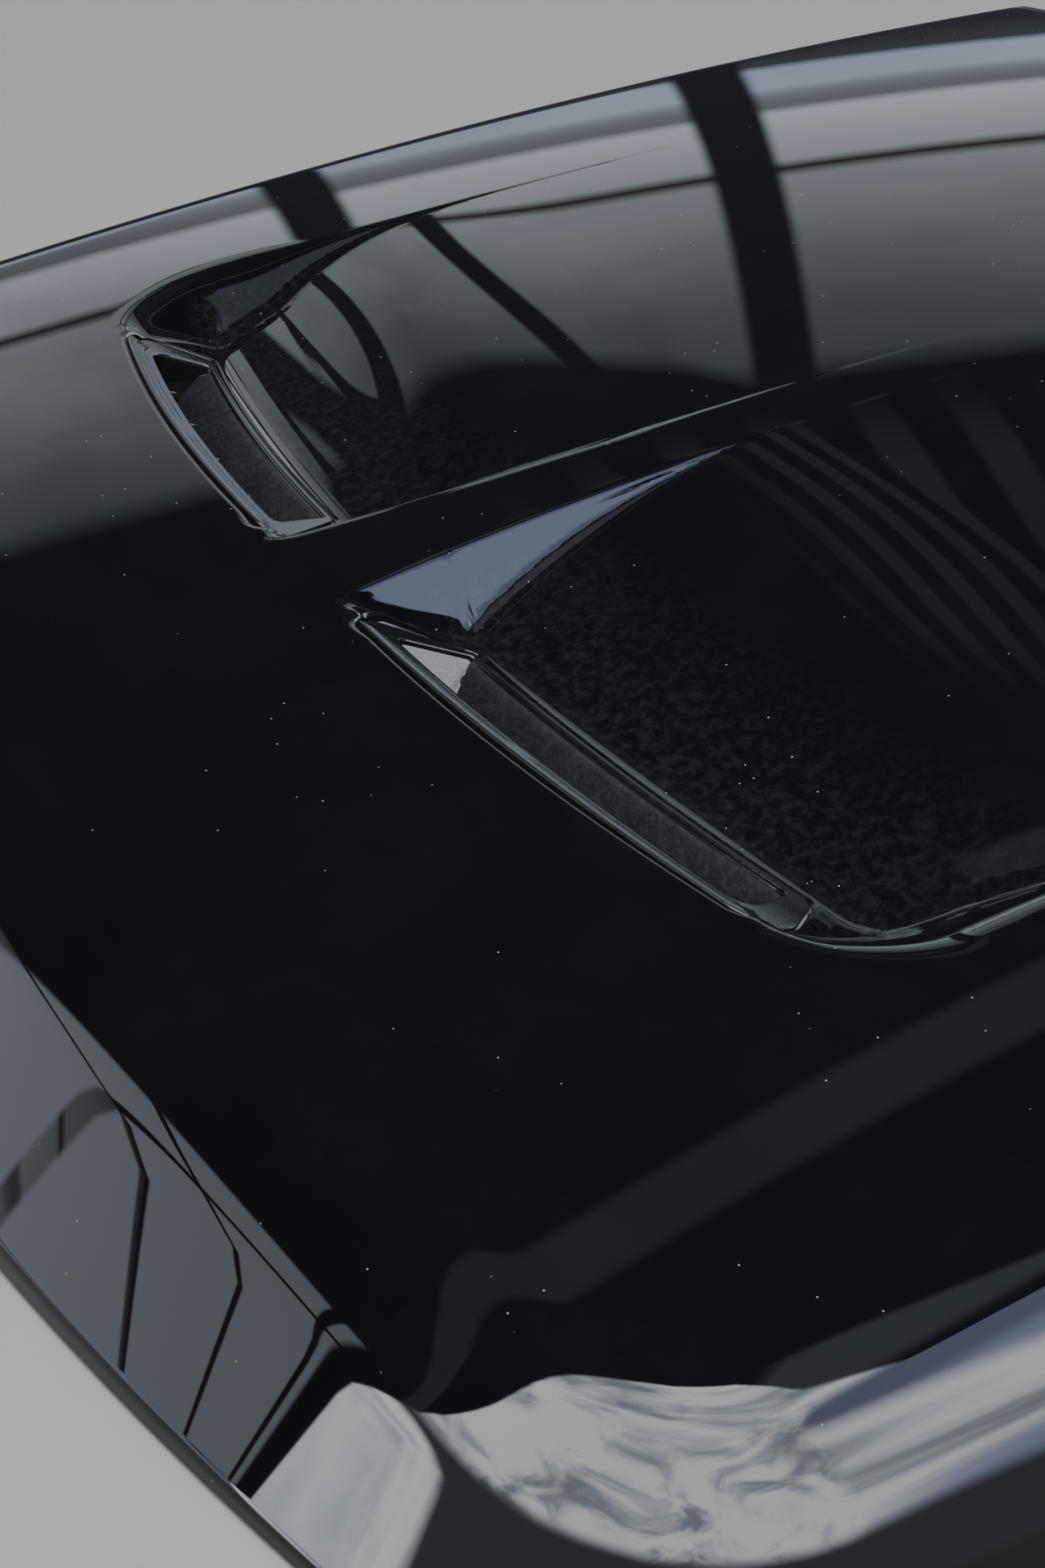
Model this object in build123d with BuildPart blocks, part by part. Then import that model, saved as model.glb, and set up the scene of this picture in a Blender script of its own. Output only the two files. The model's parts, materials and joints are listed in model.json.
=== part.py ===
from build123d import *
from math import cos, radians, sin, sqrt, tan
import os

# Vented clamshell bonnet of a large car, closed, in millimetres.
# X points to the car's left, Y to the windscreen and Z up. The origin lies midway between
# the two hinge brackets, on the underside of their base plates.

# Outer form. Sections are shares of the way back, and solids that only shape or cut others
# run this far beyond the bonnet.
half_width = 815.0
flank_toe = 0.06
flank_lean = 12.0
low_z = -40.0
rear_y = 40.0
rear_radius = 7400.0
rear_middle_y = -5.0
nose_y = -1311.0
nose_radius = 2500.0
nose_lean = 33.0
corner_radius = 190.0
crown_z = 190.0
crown_y = -130.0
crown_nose_drop = 102.6
crown_flank_drop = 83.9
roll_radius = 110.0
skin_wall = 2.0
crown_sections = (-0.05, 0.3, 0.65, 1.1)
beyond = 80.0

# Vents, drawn on a plane that tips down towards the windscreen: u runs outwards on it
# and v up the slope towards the windscreen
vent_y = nose_y + 351.0
vent_sink = 5.4
vent_tip = 19.0
vent_bow_radius = 1240.0
vent_bow_u = 60.0
vent_bow_v = -19.0
aperture_depth = 66.0
aperture_ends = ((48.0, 98.0), (444.0, 395.0))
aperture_corners = (14.0, 8.0, 24.0, 12.0)
opening_band = 18.0
opening_depth = 43.0
opening_ends = ((84.0, 102.0), (400.0, 384.0))
opening_corners = (5.0, 4.0, 14.0, 8.0)
bezel_gap = 0.6
bezel_height = 28.0
step_width = 5.5
step_rises = (3.6, 1.8)
step_in = 62.0
step_out = 428.0
rib_places = (0.2, 0.4, 0.6, 0.8)
rib_reach = 8.0
rib_height = 12.0
rib_wall = 2.5
rib_below = 3.0
rib_root = 1.0
tray_wall = 2.5
tray_depth = 30.0

# Scooped recess behind each vent
recess_y = vent_y + 30.0
recess_length = 450.0
recess_sweep = 9.0
recess_depth = 34.0
recess_fade = 2.8
recess_in = 34.0
recess_in_toe = -0.02
recess_out = 476.0
recess_out_toe = 0.02
recess_wall_in = 2.0
recess_wall_out = 1.5
recess_wall_least = 6.0
recess_wall_bend = 0.72
recess_corner = 16.0
recess_lead = 0.5
recess_sections = (-0.2, 0.0, 0.24, 0.52, 1.0)
recess_exit = 0.06

# Pressed inner frame; its windows are (x, y, width, length) and are mirrored
frame_wall = 2.0
frame_drop = 32.0
hem_gap = 0.2
vent_clearance = 14.0
recess_clearance = 4.0
window_corner = 22.0
windows = (
    (165.0, nose_y + 226.0, 200.0, 104.0),
    (452.0, nose_y + 241.0, 120.0, 84.0),
    (half_width - 225.0, nose_y + 511.0, 90.0, 260.0),
    (115.0, -470.0, 118.0, 250.0),
    (282.0, -470.0, 118.0, 250.0),
    (449.0, -470.0, 118.0, 250.0),
    (half_width - 215.0, -520.0, 84.0, 170.0),
    (115.0, -170.0, 118.0, 220.0),
    (282.0, -170.0, 118.0, 220.0),
    (449.0, -170.0, 118.0, 220.0),
)
seat_gap = 0.3

# Insulation pad
pad_thickness = 12.0
pad_half_width = half_width - 285.0
pad_front_y = vent_y + 340.0
pad_rear_y = rear_middle_y - 30.0
pad_corner = 60.0

# Hinges
hinge_x = half_width - 115.0
pivot_y = 10.0
pivot_z = 62.0
pin_radius = 5.0
pin_running_gap = 0.05
eye_radius = 14.0
hinge_plate = 4.0
ear_gap = 2.0
pin_head = 3.0
pin_head_radius = 8.0
pin_head_gap = 0.5
arm_front_y = -200.0
arm_rear_y = -60.0
arm_front_height = 10.0
arm_flange_width = 38.0
arm_flange_corner = 1.5
bracket_length = 100.0
bracket_width = 44.0
bracket_corner = 6.0
bracket_x = hinge_x - 6.0
ear_front_y = -30.0
ear_rear_y = 40.0
body_bolt_x = hinge_x - 12.0
body_bolt_pitch = 60.0
body_bolt_radius = 4.5

# Strikers, safety catch, stops and strut studs
fixing_plate = 3.0
fixing_corner = 4.0
striker_x = 335.0
striker_y = nose_y + 203.0
striker_plate_size = (56.0, 50.0)
striker_wire = 4.0
striker_span = 32.0
striker_drop = 46.0
striker_bend = 9.0
catch_y = nose_y + 201.0
catch_plate_size = (50.0, 46.0)
catch_wall = 4.0
catch_drop = 58.0
catch_shank = 12.0
catch_hook = 26.0
catch_lip = 16.0
catch_throat = 8.0
catch_tip = 5.0
stop_x = half_width - 249.0
stop_y = nose_y + 265.0
stop_radius = 15.0
stop_taper = 6.0
stop_drop = 24.0
stud_x = half_width - 160.0
stud_y = -330.0
stud_plate_size = (36.0, 50.0)
stud_drop = 20.0
stud_ear = 11.0
stud_neck = 4.0
stud_neck_length = 9.0
stud_ball = 6.5

# Rubber seals under the front and rear edges
seal_width = 11.0
seal_height = 13.0
front_seal_back = 134.0
front_seal_half = half_width - 315.0
cowl_seal_back = 14.0
cowl_seal_half = half_width - 195.0


crown_cross_radius = (half_width ** 2 + crown_flank_drop ** 2) / (2 * crown_flank_drop)


def crown_height(y):
    """Height of the outer surface on the centre line."""
    return crown_z - crown_nose_drop * ((y - crown_y) / (nose_y - crown_y)) ** 2


def sag(x, radius):
    """Drop of an arc across the car at a distance from the centre line."""
    return radius - sqrt(radius ** 2 - x ** 2)


def crown(x, y):
    """Height of the outer surface away from its rolled edges."""
    return crown_height(y) - sag(x, crown_cross_radius)


def outline(level, inset):
    """Plan of the bonnet at one height, long at the rear: nose arc, corners and flanks."""
    rise = level - low_z
    nose = nose_radius - rise * tan(radians(nose_lean)) - inset / cos(radians(nose_lean))
    side = half_width - rise * tan(radians(flank_lean)) - inset / cos(radians(flank_lean))
    rear = rear_y + 2 * beyond
    front = nose_y - corner_radius
    with BuildSketch(Plane.XY.offset(level)) as plan:
        with BuildLine():
            Polyline(
                (side + flank_toe * rear, rear),
                (side + flank_toe * front, front),
                (-side - flank_toe * front, front),
                (-side - flank_toe * rear, rear),
                close=True,
            )
        make_face()
        with Locations((0, nose_y + nose_radius)):
            Circle(nose, mode=Mode.INTERSECT)
        fillet(plan.vertices().group_by(Axis.Y)[0], corner_radius - inset)
    return plan.sketch


def crown_block(drop):
    """Everything under the top surface, lowered by drop, out past every edge."""
    wide = half_width + beyond
    deep = low_z - beyond
    with BuildPart() as block:
        for share in crown_sections:
            y = nose_y + share * (rear_y - nose_y)
            top = crown_height(y) - drop
            edge = top - sag(wide, crown_cross_radius - drop)
            with BuildSketch(Plane.XZ.offset(-y)):
                with BuildLine():
                    ThreePointArc((-wide, edge), (0, top), (wide, edge))
                    Polyline((wide, edge), (wide, deep), (-wide, deep), (-wide, edge))
                make_face()
        loft()
    return block.part


def behind_rear(tail):
    """Everything behind the bowed rear edge, or behind a line that far from it."""
    with BuildPart() as behind:
        with BuildSketch(Plane.XY.offset(low_z - beyond)):
            with Locations((0, rear_middle_y + rear_radius)):
                Circle(rear_radius - tail)
        extrude(amount=crown_z - low_z + 3 * beyond)
    return behind.part


def form(drop, inset, tail=0.0):
    """The bonnet's outer form, its top lowered by drop and its sides moved in by inset."""
    with BuildPart() as body:
        add(outline(low_z, inset))
        add(outline(crown_z + beyond, inset))
        loft(ruled=True)
        add(crown_block(drop), mode=Mode.INTERSECT)
        add(behind_rear(tail), mode=Mode.SUBTRACT)
        top_edges = body.faces().sort_by(Axis.Z)[-1].edges()
        fillet(top_edges.sort_by(Axis.Y)[:-1], roll_radius - drop)
    return body.part


def bow(u, behind=0.0):
    """Distance up the vent plane of the vent's bowed front edge, or of a line behind it."""
    return vent_bow_v + behind + (u - vent_bow_u) ** 2 / (2 * vent_bow_radius)


def bow_arc(start_u, end_u, behind=0.0):
    """Arc along the bowed edge between two distances from the centre line."""
    middle_u = (start_u + end_u) / 2
    points = [(u, bow(u, behind)) for u in (start_u, middle_u, end_u)]
    return ThreePointArc(*points)


def bowed_outline(ends, behind, depth, corners):
    """Outline between two bowed lines, with slanted ends and rounded corners."""
    (front_in, rear_in), (front_out, rear_out) = ends
    with BuildSketch() as outline_sketch:
        with BuildLine():
            front = bow_arc(front_in, front_out, behind)
            rear = bow_arc(rear_out, rear_in, behind + depth)
            Line(front @ 1, rear @ 0)
            Line(rear @ 1, front @ 0)
        make_face()
        places = ((front @ 0), (rear @ 1), (front @ 1), (rear @ 0))
        for place, radius in zip(places, corners):
            near = outline_sketch.vertices().sort_by_distance(place)[0]
            fillet(near, radius)
    return outline_sketch.sketch


tip = radians(vent_tip)
vent_z = crown((aperture_ends[0][0] + aperture_ends[1][0]) / 2, vent_y) - vent_sink
vent_plane = Plane(origin=(0, vent_y, vent_z), x_dir=(1, 0, 0), z_dir=(0, sin(tip), cos(tip)))
aperture = bowed_outline(aperture_ends, 0, aperture_depth, aperture_corners)
opening = bowed_outline(opening_ends, opening_band, opening_depth, opening_corners)


def vent_prism(outline_sketch, low, high, grow=0.0):
    """A vent outline, grown outwards, as a prism between two levels of the vent plane."""
    with BuildPart() as prism:
        with BuildSketch(vent_plane.offset(low)):
            add(outline_sketch)
            if grow:
                offset(amount=grow)
        extrude(amount=high - low)
    return prism.part


def recess(grow):
    """Solid that scoops the left recess out of a form, its floor and walls grown by grow."""
    sweep = radians(recess_sweep)
    with BuildPart() as scoop:
        for share in recess_sections:
            run = share * recess_length
            start_y = recess_y + run
            fade = (1 - share) ** recess_fade if share < 1 else -recess_exit
            scooped = recess_depth * fade
            depth = scooped + grow
            top_in = recess_in + recess_in_toe * run - grow
            top_out = recess_out + recess_out_toe * run + grow
            low_in = top_in + recess_wall_in * abs(scooped) + recess_wall_least
            low_out = top_out - recess_wall_out * abs(scooped) - recess_wall_least
            bend_in = (top_in + low_in) / 2
            bend_out = (top_out + low_out) / 2

            def spot(x, below):
                height = crown(x, start_y + x * tan(sweep)) - below
                return (x / cos(sweep), height)

            section = Plane(
                origin=(0, start_y, 0),
                x_dir=(cos(sweep), sin(sweep), 0),
                z_dir=(sin(sweep), -cos(sweep), 0),
            )
            bend = recess_wall_bend * depth
            with BuildSketch(section):
                with BuildLine():
                    Line(spot(top_in, -beyond), spot(top_in, 0))
                    ThreePointArc(spot(top_in, 0), spot(bend_in, bend), spot(low_in, depth))
                    middle = spot((low_in + low_out) / 2, depth)
                    ThreePointArc(spot(low_in, depth), middle, spot(low_out, depth))
                    ThreePointArc(spot(low_out, depth), spot(bend_out, bend), spot(top_out, 0))
                    Polyline(spot(top_out, 0), spot(top_out, -beyond), spot(top_in, -beyond))
                make_face()
        loft()
        with BuildSketch(vent_plane.offset(-grow)):
            with BuildLine():
                front = bow_arc(aperture_ends[0][0], aperture_ends[1][0])
                Polyline(
                    front @ 1,
                    (recess_out, 2 * aperture_depth),
                    (half_width, 2 * aperture_depth),
                    (half_width, 2 * recess_length),
                    (0, 2 * recess_length),
                    (0, 0),
                    (recess_in, 0),
                    front @ 0,
                )
            limit = make_face()
            fillet(limit.vertices().sort_by_distance(front @ 0)[0], recess_corner)
            offset(amount=grow + recess_lead)
        extrude(amount=4 * beyond, mode=Mode.INTERSECT)
    return scoop.part


def front_step(number, rise):
    """One of the steps along the front edge of a vent bezel, the first the narrowest."""
    ends = ((step_in, step_in), (step_out, step_out))
    strip = bowed_outline(ends, bezel_gap - step_width, (number + 1) * step_width, ())
    with BuildPart() as step:
        add(vent_prism(aperture, -step_width, rise, -bezel_gap))
        add(vent_prism(strip, -bezel_height, bezel_height), mode=Mode.INTERSECT)
    return step.part


def both(solid):
    """A left-hand solid together with its mirror image."""
    with BuildPart() as pair:
        add(solid)
        mirror(solid, about=Plane.YZ)
    return pair.part


def write(name, solid):
    """Label one finished piece and write it."""
    solid.label = name
    export_step(solid, f"parts/{name}.step")


def write_sides(name, solid):
    """Write a left-hand piece and its mirror image as two pieces."""
    for side in ("left", "right"):
        with BuildPart() as piece:
            if side == "left":
                add(solid)
            else:
                mirror(solid, about=Plane.YZ)
        write(f"{name}_{side}", piece.part)


def plate_under(near, far, plan):
    """Plate that follows the outer surface between two depths below it, cut to a plan."""
    with BuildPart() as plate:
        with BuildSketch(Plane.XY.offset(low_z)):
            add(plan)
        extrude(amount=crown_z - low_z)
        add(crown_block(near), mode=Mode.INTERSECT)
        add(crown_block(far), mode=Mode.SUBTRACT)
    return plate.part


def patch(x, y, size, corner=fixing_corner):
    """Rounded rectangle in plan."""
    with BuildSketch() as plan:
        with Locations((x, y)):
            RectangleRounded(*size, corner)
    return plan.sketch


os.makedirs("parts", exist_ok=True)
frame_under = frame_drop + frame_wall
seat = frame_under + seat_gap

# Outer skin: one pressed sheet with two scooped recesses and the two vent apertures
with BuildPart() as cavity:
    add(form(skin_wall, skin_wall, tail=beyond))
    add(both(recess(skin_wall)), mode=Mode.SUBTRACT)
with BuildPart() as outer_skin:
    add(form(0, 0))
    add(both(recess(0)), mode=Mode.SUBTRACT)
    add(cavity.part, mode=Mode.SUBTRACT)
    add(both(vent_prism(aperture, -beyond, beyond)), mode=Mode.SUBTRACT)
write("outer_skin", outer_skin.part)

# Inner frame: a second, shallower pressing nested in the skin, open at its windows
hem = skin_wall + hem_gap
with BuildPart() as rear_wall:
    add(behind_rear(-frame_wall))
    add(form(hem, hem + frame_wall / 2), mode=Mode.INTERSECT)
    add(form(frame_drop + frame_wall / 2, 0, tail=beyond), mode=Mode.SUBTRACT)
with BuildPart() as inner_frame:
    add(form(frame_drop, hem))
    add(form(frame_under, hem + frame_wall, tail=beyond), mode=Mode.SUBTRACT)
    add(rear_wall.part)
    with BuildSketch(Plane.XY.offset(low_z)):
        for x, y, width, length in windows:
            with Locations((x, y), (-x, y)):
                RectangleRounded(width, length, window_corner)
    extrude(amount=crown_z - low_z, mode=Mode.SUBTRACT)
    add(both(vent_prism(aperture, -beyond, beyond, vent_clearance)), mode=Mode.SUBTRACT)
    add(both(recess(skin_wall + recess_clearance)), mode=Mode.SUBTRACT)
write("inner_frame", inner_frame.part)

# Vent bezels: a deep ring in each aperture, stepped along its front edge, with small gussets
with BuildPart() as bezel:
    add(vent_prism(aperture, -bezel_height, 0, -bezel_gap))
    for number, rise in enumerate(step_rises, 1):
        add(front_step(number, rise))
    add(vent_prism(opening, -2 * bezel_height, bezel_height), mode=Mode.SUBTRACT)
    (inner_u, _), (outer_u, _) = opening_ends
    for share in rib_places:
        rib_u = inner_u + share * (outer_u - inner_u)
        foot = vent_plane.from_local_coords((rib_u, bow(rib_u, opening_band), -rib_below))
        rib_plane = Plane(origin=foot, x_dir=vent_plane.y_dir, z_dir=(1, 0, 0))
        with BuildSketch(rib_plane):
            with BuildLine():
                Polyline(
                    (-rib_root, 0),
                    (rib_reach, 0),
                    (0, -rib_height),
                    (-rib_root, -rib_height),
                    close=True,
                )
            make_face()
        extrude(amount=rib_wall)
write_sides("vent_bezel", bezel.part)

# Vent trays: an open box that hangs under each bezel
tray_low = -bezel_height - tray_depth
with BuildPart() as tray:
    add(vent_prism(opening, tray_low, -bezel_height, tray_wall))
    add(vent_prism(opening, tray_low + tray_wall, 0), mode=Mode.SUBTRACT)
write_sides("vent_tray", tray.part)

# Insulation pad: a soft mat clipped under the rear half of the frame
pad_plan = patch(
    0,
    (pad_front_y + pad_rear_y) / 2,
    (2 * pad_half_width, pad_rear_y - pad_front_y),
    pad_corner,
)
write("insulation_pad", plate_under(seat, seat + pad_thickness, pad_plan))

# Hinge arms: a web that follows the frame, with a flange against it and an eye on the pin
pivot = (pivot_y, pivot_z)
with BuildPart() as hinge_arm:
    with BuildSketch(Plane.YZ.offset(hinge_x - hinge_plate / 2)):
        with Locations(pivot):
            Circle(eye_radius)
        low_front = crown(hinge_x, arm_front_y) - seat - arm_front_height
        with BuildLine():
            Polyline(
                (pivot_y, pivot_z - eye_radius),
                (pivot_y, pivot_z + eye_radius),
                (arm_rear_y, crown_z),
                (arm_front_y, crown_z),
                (arm_front_y, low_front),
                close=True,
            )
        make_face()
        with Locations(pivot):
            Circle(pin_radius + pin_running_gap, mode=Mode.SUBTRACT)
    extrude(amount=hinge_plate)
    add(crown_block(seat), mode=Mode.INTERSECT)
    flange_plan = patch(
        hinge_x - arm_flange_width / 2 + hinge_plate / 2,
        (arm_front_y + arm_rear_y) / 2,
        (arm_flange_width, arm_rear_y - arm_front_y),
        arm_flange_corner,
    )
    add(plate_under(seat, seat + hinge_plate, flange_plan))
write_sides("hinge_arm", hinge_arm.part)

# Hinge brackets: a base plate bolted to the body, with an ear that holds the pin
ear_x = hinge_x + hinge_plate / 2 + ear_gap
with BuildPart() as hinge_bracket:
    with BuildSketch():
        with Locations((bracket_x, 0)):
            RectangleRounded(bracket_width, bracket_length, bracket_corner)
        with Locations((body_bolt_x, 0)):
            with GridLocations(0, body_bolt_pitch, 1, 2):
                Circle(body_bolt_radius, mode=Mode.SUBTRACT)
    extrude(amount=hinge_plate)
    with BuildSketch(Plane.YZ.offset(ear_x)):
        with BuildLine():
            Polyline(
                (ear_front_y, hinge_plate / 2),
                (ear_rear_y, hinge_plate / 2),
                (pivot_y + eye_radius, pivot_z),
                (pivot_y - eye_radius, pivot_z),
                close=True,
            )
        make_face()
        with Locations(pivot):
            Circle(eye_radius)
            Circle(pin_radius, mode=Mode.SUBTRACT)
    extrude(amount=hinge_plate)
write_sides("hinge_bracket", hinge_bracket.part)

# Hinge pins: headed at both ends, tight in the ear
head_x = hinge_x - hinge_plate / 2 - pin_head_gap
with BuildPart() as hinge_pin:
    with BuildSketch(Plane.YZ.offset(head_x)):
        with Locations(pivot):
            Circle(pin_radius)
    extrude(amount=ear_x + hinge_plate - head_x)
    with BuildSketch(Plane.YZ.offset(head_x - pin_head), Plane.YZ.offset(ear_x + hinge_plate)):
        with Locations(pivot):
            Circle(pin_head_radius)
    extrude(amount=pin_head)
write_sides("hinge_pin", hinge_pin.part)

# Strikers: a bent wire loop welded to a plate under the frame
with BuildPart() as striker:
    add(plate_under(seat, seat + fixing_plate, patch(striker_x, striker_y, striker_plate_size)))
    root_depth = seat + fixing_plate / 2
    ends_y = (striker_y - striker_span / 2, striker_y + striker_span / 2)
    roots = [(y, crown(striker_x, y) - root_depth) for y in ends_y]
    bar_z = crown(striker_x, striker_y) - seat - striker_drop
    with BuildLine(Plane.YZ.offset(striker_x)) as wire_path:
        FilletPolyline(
            roots[0], (ends_y[0], bar_z), (ends_y[1], bar_z), roots[1], radius=striker_bend
        )
    wire_start = wire_path.line @ 0
    with BuildSketch(Plane(origin=wire_start, z_dir=(0, 0, -1))):
        Circle(striker_wire)
    sweep(path=wire_path.line)
write_sides("striker", striker.part)

# Safety catch: a flat hook under the frame on the centre line
with BuildPart() as safety_catch:
    add(plate_under(seat, seat + fixing_plate, patch(0, catch_y, catch_plate_size)))
    catch_top = crown(0, catch_y) - seat - fixing_plate / 2
    catch_low = catch_top - catch_drop
    shank_front = catch_y - catch_shank / 2
    with BuildSketch(Plane.YZ.offset(-catch_wall / 2)):
        with BuildLine():
            Polyline(
                (shank_front, catch_top),
                (shank_front, catch_low),
                (shank_front + catch_hook, catch_low),
                (shank_front + catch_hook, catch_low + catch_lip),
                (shank_front + catch_hook - catch_tip, catch_low + catch_lip),
                (shank_front + catch_hook - catch_throat, catch_low + catch_throat),
                (shank_front + catch_shank, catch_low + catch_throat),
                (shank_front + catch_shank, catch_top),
                close=True,
            )
        make_face()
    extrude(amount=catch_wall)
write("safety_catch", safety_catch.part)

# Rubber bump stops
with BuildPart() as bump_stop:
    foot_z = crown(stop_x, stop_y) - seat - stop_drop
    with BuildSketch(Plane.XY.offset(foot_z)):
        with Locations((stop_x, stop_y)):
            Circle(stop_radius - stop_drop * tan(radians(stop_taper)))
    extrude(amount=stop_drop * 2, taper=-stop_taper)
    add(crown_block(seat), mode=Mode.INTERSECT)
write_sides("bump_stop", bump_stop.part)

# Ball studs for the gas struts, each on an angle bracket
with BuildPart() as strut_bracket:
    add(plate_under(seat, seat + fixing_plate, patch(stud_x, stud_y, stud_plate_size)))
    ear_top = crown(stud_x, stud_y) - seat - fixing_plate / 2
    ear_plane_x = stud_x + stud_plate_size[0] / 2 - fixing_plate
    stud_z = ear_top - stud_drop
    with BuildSketch(Plane.YZ.offset(ear_plane_x)):
        with Locations((stud_y, stud_z)):
            Circle(stud_ear)
        with Locations((stud_y, (stud_z + crown_z) / 2)):
            Rectangle(2 * stud_ear, crown_z - stud_z)
        with Locations((stud_y, stud_z)):
            Circle(stud_neck, mode=Mode.SUBTRACT)
    extrude(amount=fixing_plate)
    add(crown_block(seat), mode=Mode.INTERSECT)
write_sides("strut_bracket", strut_bracket.part)

with BuildPart() as strut_stud:
    with BuildSketch(Plane.YZ.offset(ear_plane_x)):
        with Locations((stud_y, stud_z)):
            Circle(stud_neck)
    extrude(amount=fixing_plate + stud_neck_length)
    ball_x = ear_plane_x + fixing_plate + stud_neck_length
    with Locations((ball_x, stud_y, stud_z)):
        Sphere(stud_ball)
write_sides("strut_stud", strut_stud.part)

# Seals: rubber strips that follow the nose and the rear edge under the frame
nose_centre = (0, nose_y + nose_radius)
front_radius = nose_radius - front_seal_back
with BuildSketch() as front_plan:
    with Locations(nose_centre):
        Circle(front_radius)
        Circle(front_radius - seal_width, mode=Mode.SUBTRACT)
    with Locations((0, nose_y)):
        Rectangle(2 * front_seal_half, 4 * front_seal_back, mode=Mode.INTERSECT)
write("front_seal", plate_under(seat, seat + seal_height, front_plan.sketch))

cowl_radius = rear_radius + cowl_seal_back
with BuildSketch() as cowl_plan:
    with Locations((0, rear_middle_y + rear_radius)):
        Circle(cowl_radius + seal_width)
        Circle(cowl_radius, mode=Mode.SUBTRACT)
    Rectangle(2 * cowl_seal_half, 4 * half_width, mode=Mode.INTERSECT)
write("cowl_seal", plate_under(seat, seat + seal_height, cowl_plan.sketch))
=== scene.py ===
import bpy
import bmesh
import json
import math
import numpy as np
from mathutils import Matrix, Vector


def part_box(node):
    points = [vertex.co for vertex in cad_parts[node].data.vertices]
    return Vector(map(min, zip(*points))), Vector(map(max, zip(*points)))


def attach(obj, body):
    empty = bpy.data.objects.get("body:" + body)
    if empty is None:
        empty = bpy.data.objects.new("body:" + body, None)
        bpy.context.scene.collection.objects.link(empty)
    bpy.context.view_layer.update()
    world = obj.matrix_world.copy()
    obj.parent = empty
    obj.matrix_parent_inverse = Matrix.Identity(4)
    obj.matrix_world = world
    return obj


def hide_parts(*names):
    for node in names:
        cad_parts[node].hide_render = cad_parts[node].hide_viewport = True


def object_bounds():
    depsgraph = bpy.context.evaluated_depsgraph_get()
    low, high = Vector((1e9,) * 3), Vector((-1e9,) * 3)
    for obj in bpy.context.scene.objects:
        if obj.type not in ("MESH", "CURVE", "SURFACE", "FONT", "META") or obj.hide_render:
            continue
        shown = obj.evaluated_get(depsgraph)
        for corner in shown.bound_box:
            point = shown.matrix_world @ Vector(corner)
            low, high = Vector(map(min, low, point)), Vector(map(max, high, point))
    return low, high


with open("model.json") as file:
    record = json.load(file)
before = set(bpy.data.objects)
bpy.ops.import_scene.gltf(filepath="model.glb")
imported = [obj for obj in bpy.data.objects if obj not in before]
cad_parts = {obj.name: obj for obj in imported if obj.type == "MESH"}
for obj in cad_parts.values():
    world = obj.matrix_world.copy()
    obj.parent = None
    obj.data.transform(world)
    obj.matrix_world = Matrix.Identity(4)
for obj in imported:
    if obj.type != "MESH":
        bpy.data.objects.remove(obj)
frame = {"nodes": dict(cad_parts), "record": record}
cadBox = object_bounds()
mm = 0.001
flip = np.array([-1, 1, 1])  # mirrors a point to the car's other side

# camera at the photograph's angle: place, turns in radians, focal length in pixels of 1280 x 1920
camera = {
    "place": (1.55593, -1.62606, 0.98703),
    "yaw": 0.469088,
    "pitch": 0.535983,
    "roll": -0.014082,
    "focalPixels": 3954.0,
    "imageHeight": 1920.0,
    "filmHeight": 36.0,
    "farClip": 50.0,
}


def addObject(name, data):
    obj = bpy.data.objects.new(name, data)
    bpy.context.scene.collection.objects.link(obj)
    return obj


def makeCamera(spec):
    data = bpy.data.cameras.new("camera")
    data.sensor_fit = "VERTICAL"
    data.sensor_height = spec["filmHeight"]
    data.lens = spec["focalPixels"] * spec["filmHeight"] / spec["imageHeight"]
    data.clip_end = spec["farClip"]
    yaw, pitch, roll = spec["yaw"], spec["pitch"], spec["roll"]
    look = Vector((-math.cos(yaw) * math.cos(pitch), math.sin(yaw) * math.cos(pitch), -math.sin(pitch)))
    level = Vector((math.sin(yaw), math.cos(yaw), 0.0))
    up = level.cross(look)
    right = level * math.cos(roll) + up * math.sin(roll)
    over = up * math.cos(roll) - level * math.sin(roll)
    turn = Matrix((right, over, -look)).transposed()
    obj = addObject("camera", data)
    obj.matrix_world = Matrix.Translation(spec["place"]) @ turn.to_4x4()
    bpy.context.scene.camera = obj


makeCamera(camera)
print("camera set")


def feed(tree, socket, value):
    # a link or a value; colors are given without alpha
    if isinstance(value, bpy.types.NodeSocket):
        tree.links.new(value, socket)
    else:
        socket.default_value = (*value, 1.0) if socket.type == "RGBA" else value


def addNode(tree, kind, inputs={}, **settings):
    node = tree.nodes.new(kind)
    for key, value in settings.items():
        setattr(node, key, value)
    for name, value in inputs.items():
        feed(tree, node.inputs[name], value)
    return node


def mathNode(tree, operation, *values, clamp=False):
    inputs = dict(enumerate(values))
    return addNode(tree, "ShaderNodeMath", inputs, operation=operation, use_clamp=clamp).outputs[0]


def rampNode(tree, factor, stops):
    node = addNode(tree, "ShaderNodeValToRGB", {0: factor})
    elements = node.color_ramp.elements
    while len(elements) < len(stops):
        elements.new(0.5)
    for element, (place, color) in zip(elements, stops):
        element.position = place
        element.color = (*color, 1.0)
    return node.outputs["Color"]


def mixColor(tree, factor, a, b):
    return addNode(tree, "ShaderNodeMix", {0: factor, 6: a, 7: b}, data_type="RGBA").outputs[2]


def mixValue(tree, factor, a, b):
    return addNode(tree, "ShaderNodeMix", {0: factor, 2: a, 3: b}).outputs[0]


def noiseNode(tree, place, scale, detail=2.0, roughness=0.5, distortion=0.0):
    inputs = {"Vector": place, "Scale": scale, "Detail": detail, "Roughness": roughness, "Distortion": distortion}
    return addNode(tree, "ShaderNodeTexNoise", inputs).outputs[0]


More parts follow.
